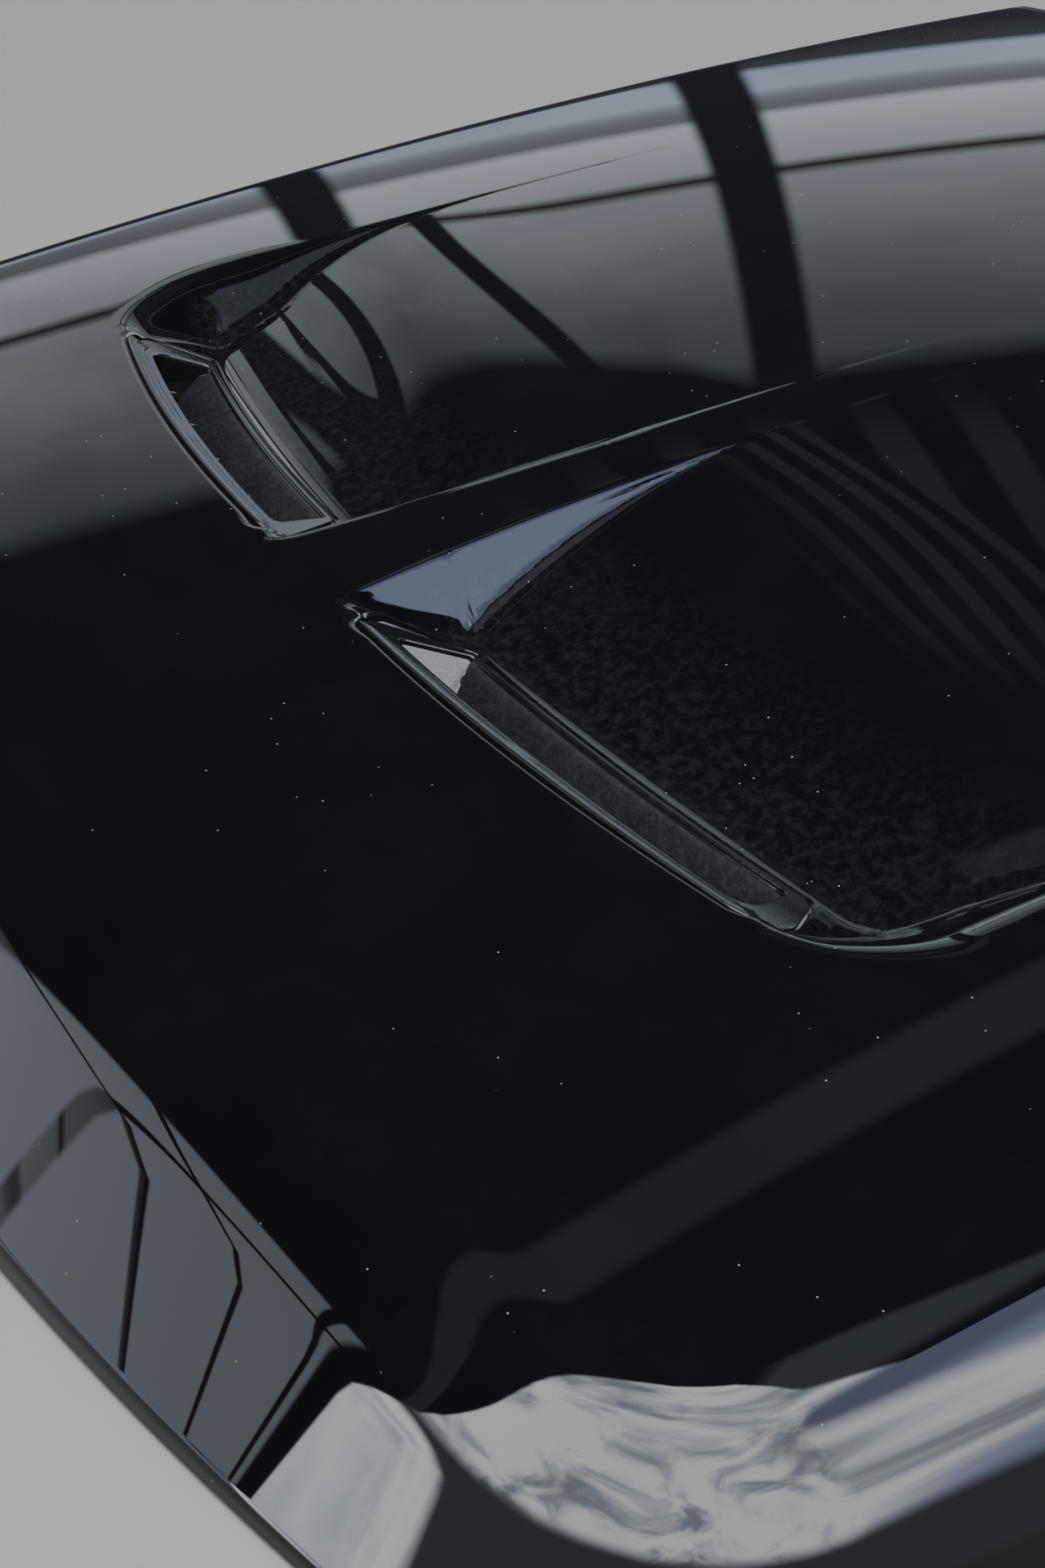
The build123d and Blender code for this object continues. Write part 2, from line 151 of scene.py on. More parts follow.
def newMaterial(name, **plain):
    material = bpy.data.materials.new(name)
    material.use_nodes = True
    tree = material.node_tree
    shader = tree.nodes["Principled BSDF"]
    for label, value in plain.items():
        feed(tree, shader.inputs[label.replace("_", " ")], value)
    place = addNode(tree, "ShaderNodeTexCoord").outputs["Object"]
    return material, tree, shader, place


# soft studio round the object. Arc angles run from the camera's side, 0, over the top to the far
# side, 180; swing angles run along the object, from its front, -90, to its rear, 90
dark = (0.030, 0.032, 0.042)
studio = {
    "floorZ": cadBox[0].z - 0.002,
    "floorSize": 60.0,
    "floor": {"Base_Color": (0.40, 0.40, 0.395), "Roughness": 0.9, "Specular_IOR_Level": 0.2},
    "lamp": {"size": 3.2, "energy": 95.0, "place": (1.1, -1.2, 3.2), "tilt": 30, "axis": (0.6, 0.8, 0.0)},
    "ambient": 0.62,
    "backdrop": (0.205, 0.210, 0.215),
    "cameraSide": (math.cos(camera["yaw"]), -math.sin(camera["yaw"]), 0.0),
    "alongSide": (math.sin(camera["yaw"]), math.cos(camera["yaw"]), 0.0),
    "cloud": (3.2, 5.0, 0.55, 0.8),  # scale, detail, roughness and distortion
    # far side, as arc and color
    "farBand": (
        (0.0, dark), (152.9, dark), (153.6, (0.36, 0.40, 0.43)), (160.0, (0.62, 0.68, 0.74)),
        (166.2, (0.72, 0.80, 0.88)), (166.4, (0.04, 0.04, 0.05)), (167.0, (0.04, 0.04, 0.05)),
        (167.2, (0.85, 0.95, 1.05)), (171.6, (1.00, 1.12, 1.25)), (171.9, (0.30, 0.33, 0.37)),
        (173.6, (0.36, 0.40, 0.46)), (173.9, (0.75, 0.85, 1.00)), (176.6, (0.65, 0.75, 0.90)),
        (176.9, (0.10, 0.11, 0.13)), (180.0, (0.05, 0.05, 0.06)),
    ),
    "bandCloud": (0.25, 0.75),
    "bandLight": (0.75, 1.15),
    "posts": ((1.2, 0.55), (-7.7, 0.5), (-18.5, 0.8)),  # swing and half width
    "postEdge": 0.35,
    "postSpans": (None, None, (140.0, 154.0), None),
    "slats": {"slant": 0.25, "pitch": 1.1, "edge": (0.45, 0.75)},
    "beam": {"arc": 122.0, "slant": 0.6, "edge": (0.9, 1.5)},
    "panes": {"start": (3.0, -100.0), "size": (15.0, 6.0), "edges": ((0.8, 1.4), (0.35, 0.7))},
    # color, then where it fades in and out over swing, and in and out over arc
    "areas": {
        "slats": ((0.13, 0.135, 0.155), (-6.0, -1.0), None, (131.0, 138.0), (147.0, 152.0)),
        "beam": ((0.26, 0.27, 0.31), None, None, None, None),
        "frontGlow": ((1.1, 1.2, 1.35), (-52.0, -48.0), (-40.0, -36.0), (138.0, 143.0), None),
        "canopyHem": ((0.55, 0.58, 0.72), (1.0, 4.0), (11.0, 14.0), None, (109.0, 112.0)),
        "panes": ((1.5, 1.65, 1.9), None, (-69.0, -67.5), (88.0, 90.0), None),
        "rearWindow": ((2.6, 2.8, 3.1), (26.0, 30.0), None, (150.0, 158.0), None),
    },
    "skyWhite": (9.5, 9.8, 10.2),
    "skyGrey": (3.0, 3.3, 3.9),
    "skyCloud": (0.42, 0.66),
    "skyBlue": (2.9, 3.3, 4.5),
    "skyDeep": (1.5, 1.7, 2.4),
    "blueArc": (72.0, 82.0),
    "blueRear": (34.0, 40.0),
    "blueStart": (11.5, 14.5),
    "deepToBlue": (17.5, 21.5),
    "skyLow": (0.50, 0.53, 0.57),
    "lowUp": (0.45, 0.31),
    "lowStart": (-75.0, -71.0),
    "ground": (0.42, 0.42, 0.43),
    "groundUp": (-0.10, -0.28),
    # the canopy's edge, an arc that falls towards the front and the rear
    "canopyEdge": 104.0,
    "canopySoft": (-0.8, 0.4),
    "canopyLeast": 35.0,
    "canopyFront": (0.0, -60.0),
    "canopyFrontFall": 24.0,
    "canopyRearFall": 1.0,
    "canopyRearStep": (14.0, 16.5, 16.5),
    "canopyRearSlope": 1.3,
}


def makeStudio(spec):
    world = bpy.data.worlds.new("studio")
    bpy.context.scene.world = world
    world.use_nodes = True
    tree = world.node_tree
    tree.nodes.clear()
    direction = addNode(tree, "ShaderNodeTexCoord").outputs["Generated"]

    def calc(operation, *values):
        return mathNode(tree, operation, *values)

    def along(vector):
        node = addNode(tree, "ShaderNodeVectorMath", {0: direction, 1: vector}, operation="DOT_PRODUCT")
        return node.outputs["Value"]

    def fade(value, span):
        inputs = {"Value": value, "From Min": span[0], "From Max": span[1]}
        return addNode(tree, "ShaderNodeMapRange", inputs, interpolation_type="SMOOTHSTEP").outputs["Result"]

    def fadeOut(value, span):
        return calc("SUBTRACT", 1.0, fade(value, span))

    def paint(under, color, mask):
        return mixColor(tree, mask, under, color)

    def within(mask, spans):
        for value, span, made in zip((swing, swing, arc, arc), spans, (fade, fadeOut) * 2):
            if span:
                mask = calc("MULTIPLY", mask, made(value, span))
        return mask

    up = along((0.0, 0.0, 1.0))
    degrees = 180 / math.pi
    arc = calc("MULTIPLY", calc("ARCTAN2", calc("MAXIMUM", up, 0.0), along(spec["cameraSide"])), degrees)
    swing = calc("MULTIPLY", calc("ARCSINE", along(spec["alongSide"])), degrees)
    cloud = noiseNode(tree, direction, *spec["cloud"])

    # far side: a window band under a dark canopy, with its posts
    band = [(place / 180, color) for place, color in spec["farBand"]]
    tint = rampNode(tree, calc("DIVIDE", arc, 180.0), band)
    patchy = mixValue(tree, fade(cloud, spec["bandCloud"]), *spec["bandLight"])
    scaled = addNode(tree, "ShaderNodeVectorMath", {0: tint, "Scale": patchy}, operation="SCALE")
    light = scaled.outputs[0]
    for place, half in spec["posts"]:
        near = calc("ABSOLUTE", calc("SUBTRACT", swing, place))
        post = fadeOut(near, (half, half + spec["postEdge"]))
        light = paint(light, dark, within(post, spec["postSpans"]))
    # faint slats and a pale beam across the canopy, panes at the front, and plain lit areas
    slats, beam, panes = spec["slats"], spec["beam"], spec["panes"]
    rows = calc("PINGPONG", calc("MULTIPLY_ADD", arc, slats["slant"], swing), slats["pitch"])
    bent = calc("SUBTRACT", arc, calc("MULTIPLY_ADD", swing, beam["slant"], beam["arc"]))
    cells = []
    for value, start, size, edge in zip((arc, swing), panes["start"], panes["size"], panes["edges"]):
        cells.append(fade(calc("PINGPONG", calc("SUBTRACT", value, start), size), edge))
    patterns = {
        "slats": fade(rows, slats["edge"]),
        "beam": fadeOut(calc("ABSOLUTE", bent), beam["edge"]),
        "panes": calc("MULTIPLY", *cells),
    }
    for name, (color, *spans) in spec["areas"].items():
        light = paint(light, color, within(patterns.get(name, 1.0), spans))
    # open sky over the camera's side, up to the curved edge of the canopy
    stepStart, stepEnd, stepRise = spec["canopyRearStep"]
    past = calc("MAXIMUM", calc("SUBTRACT", swing, stepEnd), 0.0)
    rearFall = calc("MULTIPLY", calc("MAXIMUM", swing, 0.0), spec["canopyRearFall"])
    rearFall = calc("MULTIPLY_ADD", past, spec["canopyRearSlope"], rearFall)
    rearFall = calc("SUBTRACT", rearFall, calc("MULTIPLY", fade(swing, (stepStart, stepEnd)), stepRise))
    frontFall = mixValue(tree, fade(swing, spec["canopyFront"]), 0.0, spec["canopyFrontFall"])
    fall = calc("ADD", frontFall, rearFall)
    edge = calc("MAXIMUM", calc("SUBTRACT", spec["canopyEdge"], fall), spec["canopyLeast"])
    sky = paint(spec["skyWhite"], spec["skyGrey"], fade(cloud, spec["skyCloud"]))
    blue = calc("MAXIMUM", fade(arc, spec["blueArc"]), fade(swing, spec["blueRear"]))
    blue = calc("MULTIPLY", blue, fade(swing, spec["blueStart"]))
    sky = paint(sky, paint(spec["skyDeep"], spec["skyBlue"], fade(swing, spec["deepToBlue"])), blue)
    sky = paint(sky, spec["skyLow"], calc("MULTIPLY", fade(up, spec["lowUp"]), fade(swing, spec["lowStart"])))
    light = paint(light, sky, fadeOut(calc("SUBTRACT", arc, edge), spec["canopySoft"]))
    light = paint(light, spec["ground"], fade(up, spec["groundUp"]))

    # even light for matt surfaces, the areas for reflections, a plain backdrop for the camera
    path = addNode(tree, "ShaderNodeLightPath")
    shader = addNode(tree, "ShaderNodeBackground", {"Color": (spec["ambient"],) * 3}).outputs[0]
    for ray, color in (("Is Glossy Ray", light), ("Is Camera Ray", spec["backdrop"])):
        seen = addNode(tree, "ShaderNodeBackground", {"Color": color}).outputs[0]
        shader = addNode(tree, "ShaderNodeMixShader", {0: path.outputs[ray], 1: shader, 2: seen}).outputs[0]
    addNode(tree, "ShaderNodeOutputWorld", {"Surface": shader})

    half = spec["floorSize"] / 2
    mesh = bpy.data.meshes.new("floor")
    corners = [(-half, -half), (half, -half), (half, half), (-half, half)]
    mesh.from_pydata([(x, y, spec["floorZ"]) for x, y in corners], [], [(0, 1, 2, 3)])
    mesh.materials.append(newMaterial("floorPaper", **spec["floor"])[0])
    floor = addObject("floor", mesh)
    floor.visible_glossy = False

    given = spec["lamp"]
    lamp = bpy.data.lights.new("overhead", "AREA")
    lamp.shape = "DISK"
    lamp.size = given["size"]
    lamp.energy = given["energy"]
    holder = addObject("overhead", lamp)
    tilt = Matrix.Rotation(math.radians(given["tilt"]), 4, given["axis"])
    holder.matrix_world = Matrix.Translation(given["place"]) @ tilt
    holder.visible_glossy = False


makeStudio(studio)
print("studio lit")

# the pressed form, as the CAD has it
skinLow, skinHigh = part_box("outer_skin")
body = {
    "halfWidth": 0.815,
    "flankToe": 0.06,
    "flankLean": math.radians(12),
    "lowZ": skinLow.z,
    "lowGap": 0.0009,
    "noseY": -1.311,
    "noseRadius": 2.5,
    "noseLean": math.radians(33),
    "cornerRadius": 0.190,
    "crownZ": skinHigh.z,
    "crownY": -0.130,
    "noseDrop": 0.1026,
    "flankDrop": 0.0839,
    "rollRadius": 0.110,
    "rollRise": 0.26,
    "rearRadius": 7.4,
    "rearMiddleY": -0.005,
}
vent = {
    "y": -0.960,
    "z": 0.12635,
    "tip": math.radians(19),
    "bowRadius": 1.240,
    "bowU": 0.060,
    "bowV": -0.019,
    "depth": 0.066,
    "ends": ((0.048, 0.098), (0.444, 0.395)),
    "corners": (0.014, 0.008, 0.024, 0.012),
    "bandDepth": 0.018,
    "openDepth": 0.043,
    "openEnds": ((0.084, 0.102), (0.400, 0.384)),
    "openCorners": (0.005, 0.004, 0.014, 0.008),
}
recess = {
    "y": -0.930,
    "sweep": math.radians(9),
    "reach": 0.450,
    "lead": 0.062,
    # depth, reach and power of the inner floor, the outer floor, the outer floor's limit and the tail
    "floors": ((0.0352, 0.262, 1.7), (0.060, 0.340, 4.6), (0.0372, 0.450, 2.8), (0.0016, 0.450, 2)),
    "outerStart": 0.08,
    "outerBlend": 0.36,
    "inner": 0.022,
    "innerFlare": 0.0135,
    "flareLength": 0.13,
    "outer": 0.484,
    "outerTuck": 0.041,
    "tuckStart": 0.020,
    "tuckLength": 0.075,
    "innerRatio": 1.32,
    "outerRatio": 1.45,
    "foot": 0.006,
    "creaseInner": 0.0030,
    "creaseOuter": 0.015,
    "mouthBlend": 0.007,
    "mouthStart": -0.003,
    "mouthLength": 0.021,
    "mouthBelow": 0.070,
}
crossRadius = (body["halfWidth"] ** 2 + body["flankDrop"] ** 2) / (2 * body["flankDrop"])


def unit(vectors):
    return vectors / np.linalg.norm(vectors, axis=-1, keepdims=True)


# the crown, or a face that lies at a drop under it
def crown(x, y, drop=0.0):
    fall = body["noseDrop"] * ((y - body["crownY"]) / (body["noseY"] - body["crownY"])) ** 2
    radius = crossRadius - drop
    return body["crownZ"] - drop - fall - (radius - np.sqrt(radius ** 2 - x ** 2))


def crownNormal(x, y, drop=0.0):
    span = body["noseY"] - body["crownY"]
    radius = crossRadius - drop
    slopeX = -x / np.sqrt(radius ** 2 - x ** 2)
    slopeY = -2 * body["noseDrop"] * (y - body["crownY"]) / span ** 2
    return unit(np.stack([-slopeX, -slopeY, np.ones_like(x)], axis=-1))


def onCrown(x, y, drop):
    return np.stack([x, y, crown(x, y, drop)], axis=-1)


def rearEdge(x):
    return body["rearMiddleY"] + body["rearRadius"] - np.sqrt(body["rearRadius"] ** 2 - x ** 2)


def bow(u):
    return vent["bowV"] + (u - vent["bowU"]) ** 2 / (2 * vent["bowRadius"])


def smoothStep(t):
    t = np.clip(t, 0.0, 1.0)
    return t * t * (3 - 2 * t)


def smoothMax(a, b, width):
    h = np.clip((width - np.abs(a - b)) / width, 0.0, 1.0)
    return np.maximum(a, b) + h * h * width / 4


def innerEdge(run):
    return recess["inner"] + recess["innerFlare"] * np.exp(-run / recess["flareLength"])


def outerEdge(run):
    tuck = np.clip((recess["tuckStart"] - run) / recess["tuckLength"], 0.0, 1.2)
    return recess["outer"] - recess["outerTuck"] * tuck ** 2


def recessRun(x, y):
    return y - recess["y"] - x * math.tan(recess["sweep"])


def floorDepth(x, run):
    # the floor falls faster at the inner side, and both sides end in a thin tail
    falls = [depth * np.clip(1 - run / reach, 0, 1.5) ** power for depth, reach, power in recess["floors"]]
    inner, outer, most, tail = falls
    share = smoothStep((x - recess["outerStart"]) / recess["outerBlend"])
    return inner + (np.minimum(outer, most) - inner) * share + tail


def recessDepth(x, y):
    x = np.abs(x)
    run = recessRun(x, y)
    deep = floorDepth(x, run)

    def wall(distance, ratio, rounding):
        foot = np.minimum(recess["foot"], deep * 0.4 + 1e-6)
        rise = -smoothMax(-distance / ratio, -deep, foot)
        edge = np.minimum(rounding, deep * 0.5 + 1e-6)
        return smoothMax(rise, np.zeros_like(rise), edge) * (distance > -rounding * 2)

    innerWall = wall(x - innerEdge(run), recess["innerRatio"], recess["creaseInner"])
    outerWall = wall(outerEdge(run) - x, recess["outerRatio"], recess["creaseOuter"])
    depth = np.minimum(innerWall, outerWall)
    # in front of the opening the floor follows the vent's own plane
    below = crown(x, y) - (vent["z"] - (y - vent["y"]) * math.tan(vent["tip"]))
    behind = (y - vent["y"]) / math.cos(vent["tip"]) - bow(x)
    nearVent = -smoothMax(-depth, -np.maximum(below, 0.0), recess["mouthBlend"])
    fade = smoothStep((behind - recess["mouthStart"]) / recess["mouthLength"])
    return np.where(below < recess["mouthBelow"], np.maximum(nearVent, 0.0) * fade, depth)


# outline of the body at a rise above its lower edge, as bottom line of flank, corner and nose
def cornerCentre(rise):
    toe = body["flankToe"]
    ring = body["noseRadius"] - rise * math.tan(body["noseLean"]) - body["cornerRadius"]
    side = body["halfWidth"] - rise * math.tan(body["flankLean"])
    side -= body["cornerRadius"] * math.hypot(1, toe)
    middleY = body["noseY"] + body["noseRadius"]
    a = 1 + toe ** 2
    b = side * toe - middleY
    c = side ** 2 + middleY ** 2 - ring ** 2
    y = (-b - math.sqrt(b * b - a * c)) / a
    return np.array([side + toe * y, y])


loftRise = body["crownZ"] + 0.080 - body["lowZ"]
cornerLow = cornerCentre(0.0)
cornerShift = (cornerCentre(loftRise) - cornerLow) / loftRise
noseMiddle = np.array([0.0, body["noseY"] + body["noseRadius"]])
flankStartY = 0.12


def wallPoint(u, rise):
    # u runs 0 to 1 along the flank, to 2 round the corner and to 3 at the middle of the nose
    toe = body["flankToe"]
    centre = cornerLow + cornerShift * rise[..., None]
    norm = math.hypot(1, toe)
    flankEndY = centre[..., 1] - body["cornerRadius"] * toe / norm
    flankY = flankStartY + np.clip(u, None, 1) * (flankEndY - flankStartY)
    flankX = body["halfWidth"] - rise * math.tan(body["flankLean"]) + toe * flankY
    startTurn = math.atan2(-toe, 1)
    endTurn = np.arctan2(centre[..., 1] - noseMiddle[1], centre[..., 0])
    turn = startTurn + np.clip(u - 1, 0, 1) * (endTurn - startTurn)
    cornerX = centre[..., 0] + body["cornerRadius"] * np.cos(turn)
    cornerY = centre[..., 1] + body["cornerRadius"] * np.sin(turn)
    swing = endTurn + np.clip(u - 2, 0, 1) * (-math.pi / 2 - endTurn)
    ring = body["noseRadius"] - rise * math.tan(body["noseLean"])
    noseX, noseY = ring * np.cos(swing), noseMiddle[1] + ring * np.sin(swing)

    def choose(flank, corner, nose):
        return np.where(u <= 1, flank, np.where(u >= 2, nose, corner))

    x, y = choose(flankX, cornerX, noseX), choose(flankY, cornerY, noseY)
    point = np.stack([x, y, body["lowZ"] + rise], axis=-1)
    angle = choose(startTurn, turn, swing)
    out = np.stack([np.cos(angle), np.sin(angle)], axis=-1)
    up = choose(math.tan(body["flankLean"]) / norm, -(out @ cornerShift), math.tan(body["noseLean"]))
    return point, unit(np.concatenate([out, up[..., None]], axis=-1))


def rollBall(u):
    # ball that rolls between the wall and the crown: its centre, both normals and the wall's rise
    radius = body["rollRadius"]
    low, high = np.zeros_like(u), np.full_like(u, body["rollRise"])
    for halving in range(34):
        rise = (low + high) / 2
        point, wallNormal = wallPoint(u, rise)
        centre = point - wallNormal * radius
        top = crownNormal(centre[..., 0], centre[..., 1])
        for again in range(2):
            touch = centre + radius * top
            top = crownNormal(touch[..., 0], touch[..., 1])
        touch = centre + radius * top
        under = touch[..., 2] < crown(touch[..., 0], touch[..., 1])
        low, high = np.where(under, rise, low), np.where(under, high, rise)
    return centre, wallNormal, top, rise


def ringRow(u, level):
    # one row of the band between the lower edge, level 0, and the crown, the last level
    u = np.atleast_1d(np.asarray(u, float))
    centre, wallNormal, top, rise = rollBall(u)
    if level <= grid["wallRows"]:
        return wallPoint(u, body["lowGap"] + (rise - body["lowGap"]) * (level / grid["wallRows"]))[0]
    share = (level - grid["wallRows"]) / grid["arcRows"]
    angle = np.arccos(np.clip(np.sum(wallNormal * top, axis=-1), -1, 1))
    a = (np.sin((1 - share) * angle) / np.sin(angle))[..., None]
    b = (np.sin(share * angle) / np.sin(angle))[..., None]
    return centre + body["rollRadius"] * (a * wallNormal + b * top)


def ventPoint(u, v, n):
    # from the vents' own plane to the row frame
    s, c = math.sin(vent["tip"]), math.cos(vent["tip"])
    return np.stack([u + 0 * v, vent["y"] + v * c + n * s, vent["z"] - v * s + n * c], axis=-1)


def runAlong(points):
    step = np.linalg.norm(np.diff(points, axis=0), axis=1)
    return np.concatenate([[0], np.cumsum(step)])


def resample(points, shares):
    run = runAlong(points)
    run /= run[-1]
    return np.stack([np.interp(shares, run, points[:, k]) for k in range(points.shape[1])], axis=1)


def outwardOf(loop):
    along = np.roll(loop, -1, axis=0) - np.roll(loop, 1, axis=0)
    return unit(np.stack([along[:, 1], -along[:, 0]], axis=1))


def ventLoop(ends, behind, depth, corners, sides):
    # outline with two bowed sides, two slanted ends and rounded corners, in (u, v).
    # sides holds the shares along front, outer end, rear and inner end, from mid-corner to mid-corner
    (frontIn, rearIn), (frontOut, rearOut) = ends
    t = np.linspace(0, 1, 200)
    frontU = frontIn + (frontOut - frontIn) * t
    rearU = rearOut + (rearIn - rearOut) * t
    front = np.stack([frontU, bow(frontU) + behind], axis=1)
    rear = np.stack([rearU, bow(rearU) + behind + depth], axis=1)
    outer = front[-1] + (rear[0] - front[-1]) * t[:, None]
    inner = rear[-1] + (front[0] - rear[-1]) * t[:, None]
    edges = [front, outer, rear, inner]
    radii = [corners[0], corners[2], corners[3], corners[1]]

    def pointAt(edge, place):
        # a place below 0 is measured from the edge's end
        run = runAlong(edge)
        place = place + run[-1] if place < 0 else place
        return np.array([np.interp(place, run, edge[:, k]) for k in range(2)])

    arcs, trims = [], []
    for k in range(4):
        before, after = edges[k - 1], edges[k]
        back, ahead = before[-1] - before[-8], after[8] - after[0]
        cosine = np.dot(-back, ahead) / np.linalg.norm(back) / np.linalg.norm(ahead)
        half = math.acos(np.clip(cosine, -1, 1)) / 2
        reach = radii[k] / math.tan(half)
        start, end = pointAt(before, -reach), pointAt(after, reach)
        s = np.linspace(0, 1, 41)[:, None]
        weight = math.sin(half)
        lower = (1 - s) ** 2 + 2 * weight * s * (1 - s) + s ** 2
        arcs.append(((1 - s) ** 2 * start + 2 * weight * s * (1 - s) * after[0] + s ** 2 * end) / lower)
        trims.append(reach)
    loop = []
    for k, edge in enumerate(edges):
        run = runAlong(edge)
        following = (k + 1) % 4
        keep = (run > trims[k]) & (run < run[-1] - trims[following])
        path = np.concatenate([arcs[k][20:], edge[keep], arcs[following][:21]])
        loop.append(resample(path, sides[k])[:-1])
    return np.concatenate(loop)


def cellFaces(rows, columns, hole=(0, 0, 0, 0)):
    # quads of a grid of points, less the cells between the hole's rows and columns
    j0, j1, i0, i1 = hole
    faces = []
    for j in range(rows - 1):
        for i in range(columns - 1):
            if not (j0 <= j < j1 and i0 <= i < i1):
                a = j * columns + i
                faces.append((a, a + 1, a + 1 + columns, a + columns))
    return faces


def rimIds(j0, j1, i0, i1, columns):
    rim = [(j0, i) for i in range(i0, i1)] + [(j, i1) for j in range(j0, j1)]
    rim += [(j1, i) for i in range(i1, i0, -1)] + [(j, i0) for j in range(j1, j0, -1)]
    return [j * columns + i for j, i in rim]


def ringFaces(rings, count, closed=False):
    faces = []
    for r in range(rings if closed else rings - 1):
        following = (r + 1) % rings
        for k in range(count):
            m = (k + 1) % count
            faces.append((r * count + k, r * count + m, following * count + m, following * count + k))
    return faces


def barFaces(rings, count, turn=1):
    # rings along a bar, and its two end faces
    ends = [tuple(range(count))[::turn], tuple(range((rings - 1) * count, rings * count))[::-turn]]
    return ringFaces(rings, count) + ends


def joinParts(parts):
    points, faces, start = [], [], 0
    for somePoints, someFaces in parts:
        points.append(somePoints)
        faces += [tuple(start + k for k in face) for face in someFaces]
        start += len(somePoints)
    return np.concatenate(points), faces


def mirrored(points, faces):
    return points * flip, [face[::-1] for face in faces]


def makeMesh(name, points, faces, outwards=True):
    mesh = bpy.data.meshes.new(name)
    mesh.from_pydata([tuple(map(float, p)) for p in points], [], [tuple(map(int, f)) for f in faces])
    work = bmesh.new()
    work.from_mesh(mesh)
    bmesh.ops.remove_doubles(work, verts=work.verts, dist=2e-6)
    bmesh.ops.dissolve_degenerate(work, edges=work.edges, dist=1e-7)
    if outwards:
        bmesh.ops.recalc_face_normals(work, faces=work.faces)
    work.to_mesh(mesh)
    work.free()
    mesh.update()
    return addObject(name, mesh)


def shadeSmooth(obj, degrees):
    for polygon in obj.data.polygons:
        polygon.use_smooth = True
    obj.data.set_sharp_from_angle(angle=math.radians(degrees))


grid = {
    "wallRows": 9,
    "arcRows": 16,
    "frontRows": 18,
    "frontPower": 0.85,
    "bandRows": 16,
    "rearRows": 92,
    "rearShares": (0.72, 0.28),
    "windowFront": -0.012,
    "windowRear": 0.080,
    "samples": ((0.02, 1, 700), (1.002, 2, 300), (2.002, 3, 400)),
    "spineShares": (0.0, 0.35, 0.6, 0.76, 0.86, 0.925, 0.965, 1.0),
    "innerSteps": (1.2, 2.6, 4.2, 6.2, 8.8, 12, 16, 20.5, 25.5, 31, 37, 43.5, 50.5, 58),
    "outerSteps": (1.6, 3.4, 5.4, 7.8, 10.6, 14, 18, 22.5, 27.5, 33, 39, 45.5, 52.5, 60),
    "middleCells": 34,
    "flankSteps": (1.6, 3.4, 5.6, 8.4, 12, 17, 23),
    "flankCells": 19,
    "rings": (0.05, 0.10, 0.16, 0.23, 0.31, 0.40, 0.49, 0.58, 0.67, 0.76, 0.84, 0.91, 0.96, 1.0),
    "lipRadius": 0.0022,
    "frontLipRadius": 0.0058,
    "lipFront": (0.004, 0.030),
    "lipEnd": (0.070, 0.045),
    "endWidth": 1.9,
    "endDepth": 0.6,
    "lipDrop": 0.004,
    "rearFade": 0.12,
    "flankRun": 1.24,  # metres of flank to one step of u
    "sheet": 0.0014,
    "smooth": 50,
}
# dust on the recess floor: how far behind the vent, where it starts, and the depth it needs
dustLie = {"reach": 0.16, "start": (0.012, 0.008), "depth": (0.006, 0.010)}


def columnPlaces(inner, outer, edge):
    spine = [inner * s for s in grid["spineShares"]]
    near = [inner + s * mm for s in grid["innerSteps"]]
    far = [outer - s * mm for s in reversed(grid["outerSteps"])]
    middle = list(np.linspace(near[-1], far[0], grid["middleCells"] + 1))[1:-1]
    past = [outer + s * mm for s in grid["flankSteps"]]
    rest = list(np.linspace(past[-1], edge, grid["flankCells"] + 1))[1:]
    return np.array(spine + near + middle + far + [outer] + past + rest)


def creaseLines(yOf):
    found = [0.04, 0.45]
    for again in range(12):
        for side, edgeOf in enumerate((innerEdge, outerEdge)):
            run = recessRun(found[side], yOf(found[side]))
            found[side] = float(edgeOf(min(max(run, -recess["lead"]), recess["reach"])))
    return found


def skinHeight(x, y):
    return crown(x, y) - recessDepth(x, y)


def settledAmount(x, y):
    # dust lies on the recess floor just behind the vent, and thins out towards the rear
    behind = (y - vent["y"]) / math.cos(vent["tip"]) - bow(np.abs(x)) - vent["depth"]
    lead, length = dustLie["start"]
    least, over = dustLie["depth"]
    near = smoothStep(1 - behind / dustLie["reach"]) * smoothStep((behind + lead) / length)
    return (near * smoothStep((recessDepth(x, y) - least) / over)).astype(np.float32)


